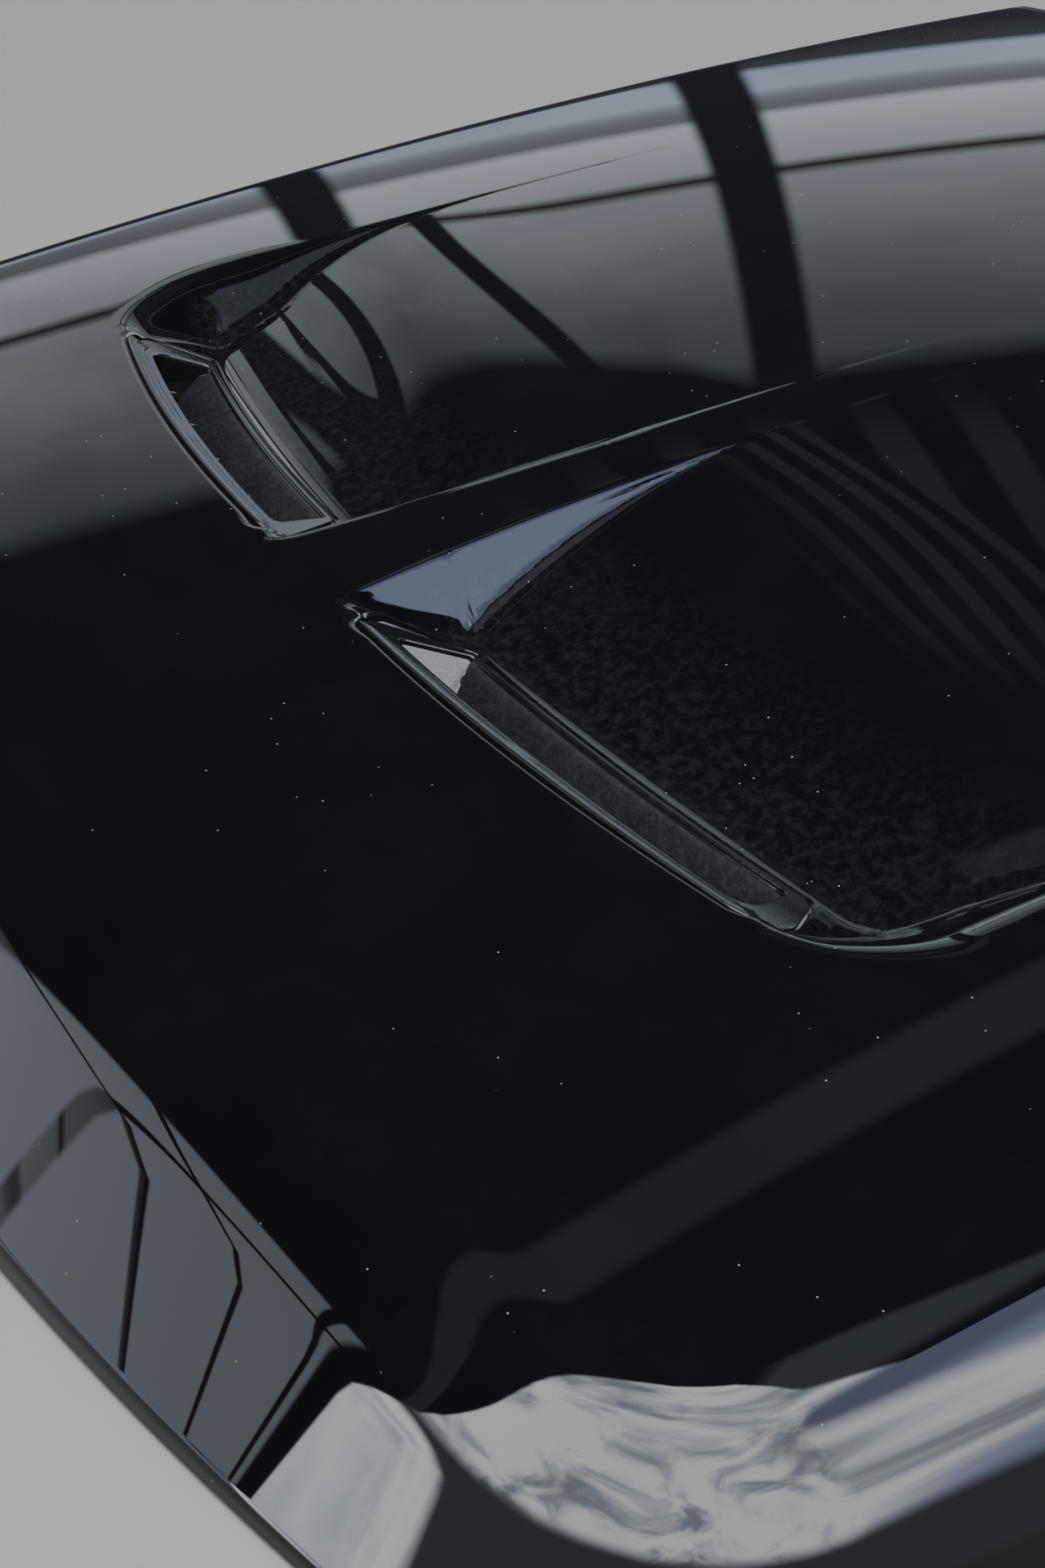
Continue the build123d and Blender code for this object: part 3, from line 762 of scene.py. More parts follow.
def makeSkin():
    top = grid["wallRows"] + grid["arcRows"]
    uDense = np.concatenate([np.linspace(*sample) for sample in grid["samples"]])
    edge = ringRow(uDense, top)
    atFlank, atNose = uDense <= 1.5, uDense >= 1.5
    cosTip = math.cos(vent["tip"])

    def bandLine(offset):
        return lambda x: vent["y"] + (bow(x) + offset) * cosTip

    def hitEdge(yOf):
        gap = edge[atFlank, 1] - yOf(edge[atFlank, 0])
        return float(np.interp(0.0, -gap, uDense[atFlank]))

    # rows of the band and behind it, front to rear
    offsets = np.linspace(grid["windowFront"], grid["windowRear"], grid["bandRows"] + 1)
    lines = [bandLine(offset) for offset in offsets]
    last = lines[-1]
    even, growing = grid["rearShares"]
    for k in range(1, grid["rearRows"] + 1):
        s = k / grid["rearRows"]
        share = s * (even + growing * s)
        lines.append(lambda x, share=share: (1 - share) * last(x) + share * rearEdge(x))
    rows, rowU = [], []
    for yOf in lines:
        rowU.append(hitEdge(yOf))
        x = columnPlaces(*creaseLines(yOf), ringRow(rowU[-1], top)[0, 0])
        rows.append(np.stack([x, yOf(x)], axis=1))
    # front zone, filled between the band's first row and the roll's inner edge
    first = rows[0]
    wantX = first[:, 0] * ringRow(1.5, top)[0, 0] / first[-1, 0]
    bottomU = np.interp(-wantX, -edge[atNose, 0], uDense[atNose])
    bottomU[0], bottomU[-1] = 3.0, 1.5
    bottom = ringRow(bottomU, top)[:, :2]
    shares = np.linspace(0, 1, grid["frontRows"] + 1) ** grid["frontPower"]
    rightU = 1.5 + (rowU[0] - 1.5) * shares
    s = (first[:, 0] / first[-1, 0])[:, None]
    frontZone = []
    for t, right in zip(shares[:-1], ringRow(rightU, top)[:, :2]):
        straight = (1 - t) * bottom + t * first
        frontZone.append(straight + s * (right - straight[-1]))
    plan = np.array(frontZone + rows)
    rowCount, columnCount = plan.shape[:2]
    points = [*np.dstack([plan, skinHeight(plan[..., 0], plan[..., 1])]).reshape(-1, 3)]
    lastRow = grid["frontRows"] + grid["bandRows"]
    lastColumn = columnCount - 1 - len(grid["flankSteps"]) - grid["flankCells"]
    hole = grid["frontRows"], lastRow, len(grid["spineShares"]) - 1, lastColumn
    faces = cellFaces(rowCount, columnCount, hole)

    # rings between the window in the grid and the vent's mouth
    previous = rimIds(*hole, columnCount)
    loopPlan = plan.reshape(-1, 2)[previous]
    sides, start = [], 0
    for count in (hole[3] - hole[2], hole[1] - hole[0]) * 2:
        run = runAlong(loopPlan[[(start + k) % len(loopPlan) for k in range(count + 1)]])
        sides.append(run / run[-1])
        start += count
    u, v = ventLoop(vent["ends"], 0.0, vent["depth"], vent["corners"], sides).T
    n = np.zeros_like(u)
    for again in range(4):
        place = ventPoint(u, v, n)
        n = n + (skinHeight(place[:, 0], place[:, 1]) - place[:, 2]) * cosTip
    rim = ventPoint(u, v, n)[:, :2]
    outward = outwardOf(rim)
    (frontLead, frontLength), (endLead, endLength) = grid["lipFront"], grid["lipEnd"]
    atFront = 1 - smoothStep((v - bow(u) - frontLead) / frontLength)
    atEnd = 1 - smoothStep((u - endLead) / endLength)
    more = grid["frontLipRadius"] - grid["lipRadius"]
    ends = atEnd * grid["endWidth"], atEnd * grid["endDepth"]
    lip, deep = (grid["lipRadius"] + more * np.maximum(atFront, end) for end in ends)
    edgePlan = rim + outward * lip[:, None]

    def addRing(ringPlan, height):
        count, base = len(ringPlan), len(points)
        points.extend(np.column_stack([ringPlan, height]))
        for k in range(count):
            m = (k + 1) % count
            faces.append((previous[m], base + m, base + k, previous[k]))
        return list(range(base, base + count))

    for share in grid["rings"]:
        ringPlan = loopPlan + (edgePlan - loopPlan) * share
        height = skinHeight(ringPlan[:, 0], ringPlan[:, 1])
        previous = addRing(ringPlan, height)
    turns = [(math.sin(a), 1 - math.cos(a), 0.0) for a in np.radians(np.arange(15, 91, 15))]
    for inwards, down, drop in (*turns, (1.0, 1.0, grid["lipDrop"])):
        previous = addRing(edgePlan - outward * (lip * inwards)[:, None], height - (deep * down + drop))

    # band of roll and wall outside the crown, its rear end moved on to the rear edge
    allU = np.concatenate([[*rightU[:-1], *rowU][::-1], bottomU[::-1][1:]])
    previous = [j * columnCount + columnCount - 1 for j in range(rowCount - 1, -1, -1)]
    previous += range(columnCount - 2, -1, -1)
    fade = 1 - smoothStep((allU - allU[0]) / grid["rearFade"])
    for level in range(top - 1, -1, -1):
        end = allU[0]
        for again in range(8):
            tip = ringRow(end, level)[0]
            end -= (rearEdge(tip[0]) - tip[1]) / grid["flankRun"]
        ids = range(len(points), len(points) + len(allU))
        points += [*ringRow(allU + (end - allU[0]) * fade, level)]
        faces += [(previous[k], previous[k + 1], ids[k + 1], ids[k]) for k in range(len(ids) - 1)]
        previous = ids
    half = np.array(points)
    skin = makeMesh("bonnetSkin", *joinParts([(half, faces), mirrored(half, faces)]), outwards=False)
    place = np.array([vertex.co[:] for vertex in skin.data.vertices])
    settled = skin.data.attributes.new("settle", "FLOAT", "POINT")
    settled.data.foreach_set("value", settledAmount(place[:, 0], place[:, 1]))
    thick = skin.modifiers.new("sheet", "SOLIDIFY")
    thick.thickness = grid["sheet"]
    thick.offset = -1.0
    thick.use_even_offset = False
    shadeSmooth(skin, grid["smooth"])
    return skin


# finishes; each is built once and given to every piece and node that has it
black, white = (0.0, 0.0, 0.0), (1.0, 1.0, 1.0)


def newTree(name, kind, main, sizes, resultKind, *results):
    # node group with one main input, named float inputs, and outputs of one kind
    tree = bpy.data.node_groups.new(name, kind + "NodeTree")
    tree.interface.new_socket(main, in_out="INPUT", socket_type="NodeSocket" + main)
    for label, value in sizes.items():
        socket = tree.interface.new_socket(label, in_out="INPUT", socket_type="NodeSocketFloat")
        socket.default_value = value
    for label in results:
        tree.interface.new_socket(label, in_out="OUTPUT", socket_type="NodeSocket" + resultKind)
    return tree, tree.nodes.new("NodeGroupInput").outputs, tree.nodes.new("NodeGroupOutput").inputs


dust = {
    "sizes": {"Film Scale": 9.0, "Speck Scale": 160.0, "Speck Size": 0.06},
    "cloud": (9.0, 0.68),  # detail and roughness
    "film": ((0.46, black), (0.80, white)),
    "rarity": 0.72,
}
grain = {
    "sizes": {"Scale": 700.0, "Coarse": 0.4},
    "lumpScale": 0.13,
    "lumps": (5.0, 0.6),
    "hollows": ((0.25, white), (0.62, black)),
}
wear = {
    "sizes": {"Break Up": 90.0, "Reach": 0.56},
    "noise": (6.0, 0.7),
    "spread": 0.12,
    "hardness": 14.0,
}


def buildDust():
    # fine settled dust: a soft cloudy film and sparse bright specks
    tree, given, result = newTree("settledDust", "Shader", "Vector", dust["sizes"], "Float", "Film", "Specks")
    cloud = noiseNode(tree, given["Vector"], given["Film Scale"], *dust["cloud"])
    feed(tree, result["Film"], rampNode(tree, cloud, dust["film"]))
    cells = addNode(tree, "ShaderNodeTexVoronoi", {"Vector": given["Vector"], "Scale": given["Speck Scale"]})
    near = mathNode(tree, "LESS_THAN", cells.outputs["Distance"], given["Speck Size"])
    pick = addNode(tree, "ShaderNodeSeparateColor", {0: cells.outputs["Color"]}).outputs[0]
    rare = mathNode(tree, "GREATER_THAN", pick, dust["rarity"])
    feed(tree, result["Specks"], mathNode(tree, "MULTIPLY", near, rare))
    return tree


def buildGrain():
    # moulded or cast surface grain as a height and a mask of its hollows
    tree, given, result = newTree("mouldGrain", "Shader", "Vector", grain["sizes"], "Float", "Height", "Hollows")
    inputs = {"Vector": given["Vector"], "Scale": given["Scale"]}
    cells = addNode(tree, "ShaderNodeTexVoronoi", inputs, feature="SMOOTH_F1").outputs["Distance"]
    lumpScale = mathNode(tree, "MULTIPLY", given["Scale"], grain["lumpScale"])
    lumps = noiseNode(tree, given["Vector"], lumpScale, *grain["lumps"])
    feed(tree, result["Height"], mathNode(tree, "MULTIPLY_ADD", lumps, given["Coarse"], cells))
    feed(tree, result["Hollows"], rampNode(tree, cells, grain["hollows"]))
    return tree


def buildEdgeWear():
    # mask along outer edges, broken up by noise
    tree, given, result = newTree("edgeWear", "Shader", "Vector", wear["sizes"], "Float", "Mask")
    point = addNode(tree, "ShaderNodeNewGeometry").outputs["Pointiness"]
    noise = noiseNode(tree, given["Vector"], given["Break Up"], *wear["noise"])
    spread = mathNode(tree, "MULTIPLY_ADD", noise, wear["spread"], point)
    over = mathNode(tree, "SUBTRACT", spread, given["Reach"])
    feed(tree, result["Mask"], mathNode(tree, "MULTIPLY", over, wear["hardness"], clamp=True))
    return tree


settledDust, mouldGrain, edgeWear = buildDust(), buildGrain(), buildEdgeWear()


def useGroup(tree, group, **given):
    node = addNode(tree, "ShaderNodeGroup", node_tree=group)
    for label, value in given.items():
        feed(tree, node.inputs[label.replace("_", " ")], value)
    return node.outputs


def bump(tree, shader, height, strength, distance):
    inputs = {"Height": height, "Strength": strength, "Distance": distance}
    feed(tree, shader.inputs["Normal"], addNode(tree, "ShaderNodeBump", inputs).outputs[0])


paint = {
    "plain": {"Coat_Weight": 1.0, "Coat_Roughness": 0.012, "Specular_IOR_Level": 0.0, "Coat_IOR": 1.5},
    "dust": {"Film_Scale": 11.0, "Speck_Scale": 95.0, "Speck_Size": 0.045},
    "colors": ((0.0032, 0.0034, 0.0048), (0.0060, 0.0063, 0.0088)),
    "flakeScale": 1400.0,
    "patches": (150.0, 6.0, 0.75),  # scale, detail and roughness
    "patchStops": ((0.46, black), (0.66, white)),
    "patchShare": 0.30,
    "filmShare": 0.05,
    "dustColor": (0.045, 0.046, 0.055),
    "speckColor": (0.42, 0.40, 0.36),
    "roughness": (0.42, 0.60),
    "bare": 0.9,
    "peel": (130.0, 1.0),  # scale and detail
    "peelBump": (0.03, 0.0006),
}


def makePaint():
    material, tree, shader, place = newMaterial("glossBlackPaint", **paint["plain"])
    film, specks = useGroup(tree, settledDust, Vector=place, **paint["dust"])
    base = mixColor(tree, noiseNode(tree, place, paint["flakeScale"]), *paint["colors"])
    lying = addNode(tree, "ShaderNodeAttribute", attribute_name="settle").outputs["Fac"]
    patches = rampNode(tree, noiseNode(tree, place, *paint["patches"]), paint["patchStops"])
    patches = mathNode(tree, "MULTIPLY", patches, lying)
    patches = mathNode(tree, "MULTIPLY", patches, paint["patchShare"])
    share = mathNode(tree, "MULTIPLY_ADD", film, paint["filmShare"], patches, clamp=True)
    dusty = mixColor(tree, share, base, paint["dustColor"])
    feed(tree, shader.inputs["Base Color"], mixColor(tree, specks, dusty, paint["speckColor"]))
    feed(tree, shader.inputs["Roughness"], mixValue(tree, film, *paint["roughness"]))
    bare = mathNode(tree, "MULTIPLY", specks, paint["bare"])
    feed(tree, shader.inputs["Coat Weight"], mathNode(tree, "SUBTRACT", 1.0, bare))
    bump(tree, shader, noiseNode(tree, place, *paint["peel"]), *paint["peelBump"])
    return material


plainLook = {
    "cloud": (14.0, 8.0, 0.65),
    "wear": 0.35,
    "rubbed": (2.2, 0.02),  # how much lighter than the high color
}


def makePlain(name, low, high, roughness, scale, height, distance, coarse=0.4, **plain):
    material, tree, shader, place = newMaterial(name, **plain)
    grainHeight, hollows = useGroup(tree, mouldGrain, Vector=place, Scale=scale, Coarse=coarse)
    edges = mathNode(tree, "MULTIPLY", useGroup(tree, edgeWear, Vector=place)[0], plainLook["wear"])
    color = mixColor(tree, noiseNode(tree, place, *plainLook["cloud"]), low, high)
    times, more = plainLook["rubbed"]
    worn = mixColor(tree, edges, color, [min(1, c * times + more) for c in high])
    feed(tree, shader.inputs["Base Color"], worn)
    feed(tree, shader.inputs["Roughness"], mixValue(tree, hollows, *roughness))
    bump(tree, shader, grainHeight, height, distance)
    return material


felt = {
    "plain": {"Sheen_Weight": 0.25, "Sheen_Roughness": 0.5, "Specular_IOR_Level": 0.15},
    "hairs": ((0.5, (1.0, 0.12, 1.0)), (-0.9, (0.14, 1.0, 1.0))),  # turn and stretch
    "hairNoise": (1500.0, 4.0, 0.7),
    "hairColors": ((0.010, 0.010, 0.011), (0.058, 0.058, 0.061)),
    "grain": {"Scale": 260.0, "Coarse": 1.2},
    "cloudNoise": (22.0, 8.0, 0.7),
    "cloudShare": 0.6,
    "rubbed": (0.030, 0.029, 0.028),
    "lint": {"Film_Scale": 30.0, "Speck_Scale": 420.0, "Speck_Size": 0.09},
    "lintShare": 0.5,
    "lintColor": (0.16, 0.155, 0.145),
    "roughness": (0.98, 0.82),
    "hairHeight": 0.6,
    "bump": (0.8, 0.0012),
}


def makeFelt():
    # pressed fibre mat: short fibres in two directions, lint and rubbed pillow tops
    material, tree, shader, place = newMaterial("fibreMat", **felt["plain"])
    hairs = []
    for turn, stretch in felt["hairs"]:
        inputs = {"Vector": place, "Rotation": (0.0, 0.0, turn), "Scale": stretch}
        turned = addNode(tree, "ShaderNodeMapping", inputs).outputs[0]
        hairs.append(noiseNode(tree, turned, *felt["hairNoise"]))
    hair = mathNode(tree, "MAXIMUM", *hairs)
    grainHeight = useGroup(tree, mouldGrain, Vector=place, **felt["grain"])[0]
    color = mixColor(tree, hair, *felt["hairColors"])
    cloud = mathNode(tree, "MULTIPLY", noiseNode(tree, place, *felt["cloudNoise"]), felt["cloudShare"])
    color = mixColor(tree, cloud, color, felt["rubbed"])
    lint = useGroup(tree, settledDust, Vector=place, **felt["lint"])["Specks"]
    color = mixColor(tree, mathNode(tree, "MULTIPLY", lint, felt["lintShare"]), color, felt["lintColor"])
    feed(tree, shader.inputs["Base Color"], color)
    feed(tree, shader.inputs["Roughness"], mixValue(tree, hair, *felt["roughness"]))
    height = mathNode(tree, "MULTIPLY_ADD", hair, felt["hairHeight"], grainHeight)
    bump(tree, shader, height, *felt["bump"])
    return material


# name, low and high color, roughness range, grain scale, bump strength and distance
plainFinishes = {
    "inner_panel": ("blackUndercoat", (0.012, 0.012, 0.014), (0.024, 0.025, 0.028),
                    (0.32, 0.5), 420.0, 0.25, 0.0004),
    "gloss_black": ("glossMoulding", (0.006, 0.006, 0.008), (0.012, 0.012, 0.015),
                    (0.10, 0.22), 900.0, 0.05, 0.0002),
    "rough_plastic": ("coarseMoulding", (0.006, 0.006, 0.008), (0.026, 0.027, 0.033),
                      (0.5, 0.8), 330.0, 0.9, 0.0012),
    "primed_steel": ("blackElectrocoat", (0.016, 0.016, 0.018), (0.032, 0.032, 0.036),
                     (0.30, 0.46), 380.0, 0.2, 0.0003),
    "zinc_steel": ("zincPlate", (0.42, 0.42, 0.40), (0.62, 0.61, 0.57), (0.28, 0.44), 600.0, 0.15, 0.0002),
    "seal_rubber": ("sealRubber", (0.010,) * 3, (0.024,) * 3, (0.62, 0.8), 640.0, 0.3, 0.0004),
    "stop_rubber": ("stopRubber", (0.012,) * 3, (0.028,) * 3, (0.55, 0.75), 480.0, 0.3, 0.0004),
}
extras = {
    "rough_plastic": {"coarse": 1.4, "Specular_IOR_Level": 0.05},
    "zinc_steel": {"Metallic": 1.0},
}
finishes = {}
for slotName, values in plainFinishes.items():
    finishes[slotName] = makePlain(*values, **extras.get(slotName, {}))
finishes.update(paint=makePaint(), felt=makeFelt())
slotOf = {part["node"]: part["material_slot"] for part in frame["record"]["subparts"]}
for node, slotName in slotOf.items():
    mesh = frame["nodes"][node].data
    mesh.materials.clear()
    mesh.materials.append(finishes[slotName])
print("finishes on", len(slotOf), "nodes")


def dress(piece, bodyName, slotName, *nodes):
    piece.data.materials.clear()
    piece.data.materials.append(finishes[slotName])
    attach(piece, bodyName)
    if nodes:
        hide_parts(*nodes)


def finishPiece(name, made, slotName, *nodes, degrees=32):
    piece = makeMesh(name, *made)
    shadeSmooth(piece, degrees)
    dress(piece, "bonnet", slotName, *nodes)
    return piece


def makePair(name, made, slotName, nodeName):
    for side, shape in (("left", made), ("right", mirrored(*made))):
        finishPiece(name + side.capitalize(), shape, slotName, f"{nodeName}_{side}")


skin = makeSkin()
print("skin", len(skin.data.polygons), "faces")
dress(skin, "bonnet", "paint", "outer_skin")

bezel = {
    "gap": 0.0006,
    "edge": 0.0009,
    "rearEdge": 0.0020,
    "skirt": -0.008,
    "steps": ((0.0055, 0.0036), (0.0110, 0.0018)),
    "stepRound": 0.0007,
    "stepWidth": 0.0174,
    "stepMarks": (0.0024, 0.0040, 0.0068, 0.0088, 0.0128, 0.0146),
    "stepFade": 0.05,
    "rearFade": (0.012, 0.2),
    "wallLow": -0.028,
    "rearLow": -0.0032,
    "draft": 0.0010,
    # shares from the opening to the edge, with their heights; the first stays under the wall's foot
    "back": ((0.30, -0.0105), (0.42, -0.010), (0.97, -0.009)),
    "footRadius": 0.0032,
    "footReach": (-0.010, 0.044),
    "footTop": -0.0008,
    "slope": 1.6,
    "bury": 0.0012,
    "clear": 0.0004,
    "rampHigh": -0.0030,
    "rampSlope": 1.2,
    "rampLow": -0.052,
    "rampFoot": 0.007,
    "ribShares": (0.2, 0.4, 0.6, 0.8),
    "ribWall": 0.003,
    "ribReach": 0.011,
    "ribTop": -0.008,
    "ribHeight": 0.018,
    "alongFront": 120,
    "alongEnd": 26,
}


def cornerShares(count):
    # shares along one side, closer together at its two corners
    t = np.linspace(0, 1, count + 1)
    return 0.62 * t + 0.38 * (0.5 - 0.5 * np.cos(math.pi * t))


def stepRise(s):
    rise = np.zeros_like(s)
    low = 0.0
    for width, height in reversed(bezel["steps"]):
        rise = rise + (height - low) * (1 - smoothStep((s - width) / bezel["stepRound"] + 0.5))
        low = height
    return rise


def movedEnds(shift):
    (frontIn, rearIn), (frontOut, rearOut) = vent["openEnds"]
    return (frontIn + shift, rearIn + shift), (frontOut - shift, rearOut - shift)


def blend(outer, inner, share):
    return outer + (inner - outer) * np.reshape(share, (-1, 1))


def inVent(points, faces):
    return ventPoint(*np.array(points).T), faces


def makeFoot():
    # concave fillet between the outer end wall and the tray's slope, from the rear lip down
    radius, bury = bezel["footRadius"], bezel["bury"]
    openRear = vent["bandDepth"] + vent["openDepth"]
    frontOut, rearOut = vent["openEnds"][1]
    down = np.array([-1.0, -bezel["slope"]]) / math.hypot(1, bezel["slope"])
    up = np.array([down[1], -down[0]])
    angles = np.radians(np.linspace(0, 90, 9))
    section = [(-bury, -bury)] + [(radius * (1 - math.cos(a)), radius * (1 - math.sin(a))) for a in angles]
    points, stations = [], 26
    for s in np.linspace(*bezel["footReach"], stations):
        foot = np.array([openRear, bezel["rearLow"]]) + down * s
        for away, above in section:
            back, n = foot + up * above
            share = np.clip((openRear - back) / vent["openDepth"], 0.0, 1.0)
            u = rearOut + (frontOut - rearOut) * share - away
            points.append((u, bow(u) + min(back, openRear - bezel["clear"]), min(n, bezel["footTop"])))
    return inVent(points, barFaces(stations, len(section)))


def makeRamp():
    # the inner end runs down to the tray as a ramp, with a concave foot
    openRear = vent["bandDepth"] + vent["openDepth"]
    frontIn, rearIn = vent["openEnds"][0]
    high, slope, bury = bezel["rampHigh"], bezel["rampSlope"], bezel["bury"]
    turn = math.atan(slope)
    points, stations = [], 24
    for back in np.linspace(openRear - bezel["clear"], vent["bandDepth"] - bury, stations):
        foot = max(bezel["rearLow"] - (openRear - back) * bezel["slope"], bezel["rampLow"]) - bezel["clear"]
        run = max(high - foot, 0.0002) / slope
        bend = min(bezel["rampFoot"] * math.tan(turn / 2), run * 0.45)
        straight = run - bend * math.cos(turn)
        section = [(-bury, foot - bury), (-bury, high)]
        section += [(t * straight, high - t * straight * slope) for t in (0.0, 0.33, 0.66)]
        start, corner = np.array([straight, foot + bend * math.sin(turn)]), np.array([run, foot])
        end = np.array([run + bend, foot])
        for t in (0.0, 0.2, 0.4, 0.6, 0.8, 1.0):
            section.append((1 - t) ** 2 * start + 2 * t * (1 - t) * corner + t ** 2 * end)
        section.append((run + bend, foot - bury))
        wall = rearIn + (frontIn - rearIn) * (openRear - back) / vent["openDepth"]
        points += [(wall + away, bow(wall + away) + back, n) for away, n in section]
    return inVent(points, barFaces(stations, len(section)))


def makeRib(share):
    # thin web on the inside of the front wall
    frontIn, frontOut = (end[0] for end in vent["openEnds"])
    u = frontIn + share * (frontOut - frontIn)
    reach, tall = bezel["ribReach"], bezel["ribHeight"]
    outline = [(-0.002, 0.0), (reach, 0.0), (reach + 0.0006, -0.0010), (0.002, -tall), (-0.002, -tall)]
    points = []
    for side in (0.0, bezel["ribWall"]):
        points += [(u + side, bow(u) + vent["bandDepth"] + b, bezel["ribTop"] + n) for b, n in outline]
    return inVent(points, barFaces(2, len(outline), -1))


def makeBezel():
    frontCells, endCells = bezel["alongFront"], bezel["alongEnd"]
    sides = [cornerShares(frontCells), cornerShares(endCells)] * 2
    openBack = vent["bandDepth"]
    outer = ventLoop(vent["ends"], 0.0, vent["depth"], vent["corners"], sides)
    outer = outer - outwardOf(outer) * bezel["gap"]
    inner = ventLoop(vent["openEnds"], openBack, vent["openDepth"], vent["openCorners"], sides)
    width = np.linalg.norm(inner - outer, axis=1)
    count = len(outer)
    place = np.arange(count)
    fromEnd = np.minimum(place, frontCells - place) / frontCells
    stepMask = np.where(place <= frontCells, smoothStep(fromEnd / bezel["stepFade"]), 0.0)
    rearPlace = (place - frontCells - endCells) / frontCells
    length, lead = bezel["rearFade"]
    atRear = smoothStep(np.minimum(rearPlace, 1 - rearPlace) / length + lead)
    edge = bezel["edge"]
    innerRound = edge + (bezel["rearEdge"] - edge) * atRear
    loops = []

    def addLoop(plan, n):
        loops.append(ventPoint(plan[:, 0], plan[:, 1], n))

    top = stepMask * bezel["steps"][0][1]
    addLoop(outer, bezel["skirt"])
    addLoop(outer, top - edge * 1.6)
    turns = [(1 - math.cos(a), 1 - math.sin(a)) for a in np.radians((10, 30, 50, 70, 90))]
    for away, down in turns:
        addLoop(blend(outer, inner, np.minimum(away * edge / width, 0.45)), top - down * edge)
    marks = list(bezel["stepMarks"])
    for widthMark, _ in bezel["steps"]:
        marks += [widthMark + k * bezel["stepRound"] for k in (-0.62, -0.4, -0.2, 0.0, 0.2, 0.4, 0.62)]
    least, most = edge / width + 0.01, 1 - innerRound / width - 0.01
    for s in sorted(marks):
        share = np.clip(s / bezel["stepWidth"], least, most)
        local = share * np.minimum(width, bezel["stepWidth"])
        addLoop(blend(outer, inner, share), stepMask * stepRise(local))
    for away, down in reversed(turns):
        addLoop(blend(outer, inner, np.maximum(1 - away * innerRound / width, 0.5)), -down * innerRound)
    # wall of the opening: deep at the front and both ends, only a lip at the rear
    low = bezel["wallLow"] + (bezel["rearLow"] - bezel["wallLow"]) * atRear
    for share in (0.1, 0.35, 0.65, 1.0):
        lean = bezel["draft"] * share
        depth = vent["openDepth"] - lean
        loop = ventLoop(movedEnds(lean), openBack + lean * 0.5, depth, vent["openCorners"], sides)
        addLoop(loop, -innerRound + (low + innerRound) * share)
    # back of the moulding, up again to the skirt
    (share, n), *rest = bezel["back"]
    addLoop(blend(inner, outer, share), np.minimum(low, n))
    for share, n in rest:
        addLoop(blend(inner, outer, share), n)
    ring = np.concatenate(loops), ringFaces(len(loops), count, closed=True)
    return joinParts([ring, makeRamp(), makeFoot(), *[makeRib(share) for share in bezel["ribShares"]]])


tray = {
    "low": -0.0556,
    "high": -0.0036,
    "wall": 0.0018,
    "fit": 0.0005,
    "corners": (0.0022, 0.0018, 0.006, 0.004),
    "rough": 0.0011,
    "lump": 0.010,
    "seed": 5,
    "rings": 17,
    "floorShares": (0.3, 0.6, 0.85),
    "along": 150,
    "alongEnd": 22,
}


def roughness(points, size, seed):
    # smooth pseudo-random height over points, the same each run
    rng = np.random.default_rng(seed)
    total = np.zeros(len(points))
    for octave in range(4):
        scale = size * 0.5 ** octave
        for wave in range(14):
            direction = unit(rng.normal(size=3))
            phase = rng.uniform(0, 2 * math.pi)
            total += np.sin(points @ direction / scale * 2 * math.pi + phase) * 0.6 ** octave
    return total / np.abs(total).max()


def makeTray():
    along, alongEnd = tray["along"], tray["alongEnd"]
    sides = [cornerShares(along), cornerShares(alongEnd)] * 2
    count = 2 * (along + alongEnd)

    def loopAt(n, outside):
        # front wall and ends upright behind the bezel's, rear wall sloping forwards from the lip
        grow = tray["fit"] + outside
        lean = (tray["high"] - n) / bezel["slope"]
        depth = vent["openDepth"] + outside * 2 - lean
        share = 1 - lean / vent["openDepth"]
        ends = [(front, front + (rear - front) * share) for front, rear in movedEnds(-grow)]
        u, v = ventLoop(ends, vent["bandDepth"] - grow, depth, tray["corners"], sides).T
        return ventPoint(u, v, n)

    def across(k):
        # place straight across the tray, so that floor and underside close on a line, not on a point
        return (2 * along + alongEnd - k) % count

    levels = np.linspace(tray["high"], tray["low"] + tray["wall"], tray["rings"])
    outside = [loopAt(tray["low"], tray["wall"])] + [loopAt(n, tray["wall"]) for n in levels[::-1]]
    inside = [loopAt(n, 0.0) for n in levels]
    floor = inside[-1]
    spine = (floor + floor[across(np.arange(count))]) / 2
    rings = outside + inside + [blend(floor, spine, share) for share in tray["floorShares"]]
    faces = ringFaces(len(rings), count)
    steps = [(k, k + 1) for k in range(along + alongEnd // 2)]
    steps += [((count - k) % count, (count - k + 1) % count) for k in range(1, alongEnd // 2 + 1)]
    for start, turn in (((len(rings) - 1) * count, 1), (0, -1)):
        for k, m in steps:
            quad = dict.fromkeys((start + k, start + m, start + across(m), start + across(k)))
            if len(quad) > 2:
                faces.append(tuple(quad)[::turn])
    points = np.concatenate(rings)
    inner = len(outside) * count
    lumps = roughness(points[inner:], tray["lump"], tray["seed"])[count:] * tray["rough"]
    points[inner + count:, 1] -= 0.5 * lumps
    points[inner + count:, 2] += lumps
    return points, faces


makePair("ventBezel", makeBezel(), "gloss_black", "vent_bezel")
makePair("ventTray", makeTray(), "rough_plastic", "vent_tray")
print("vents fitted")

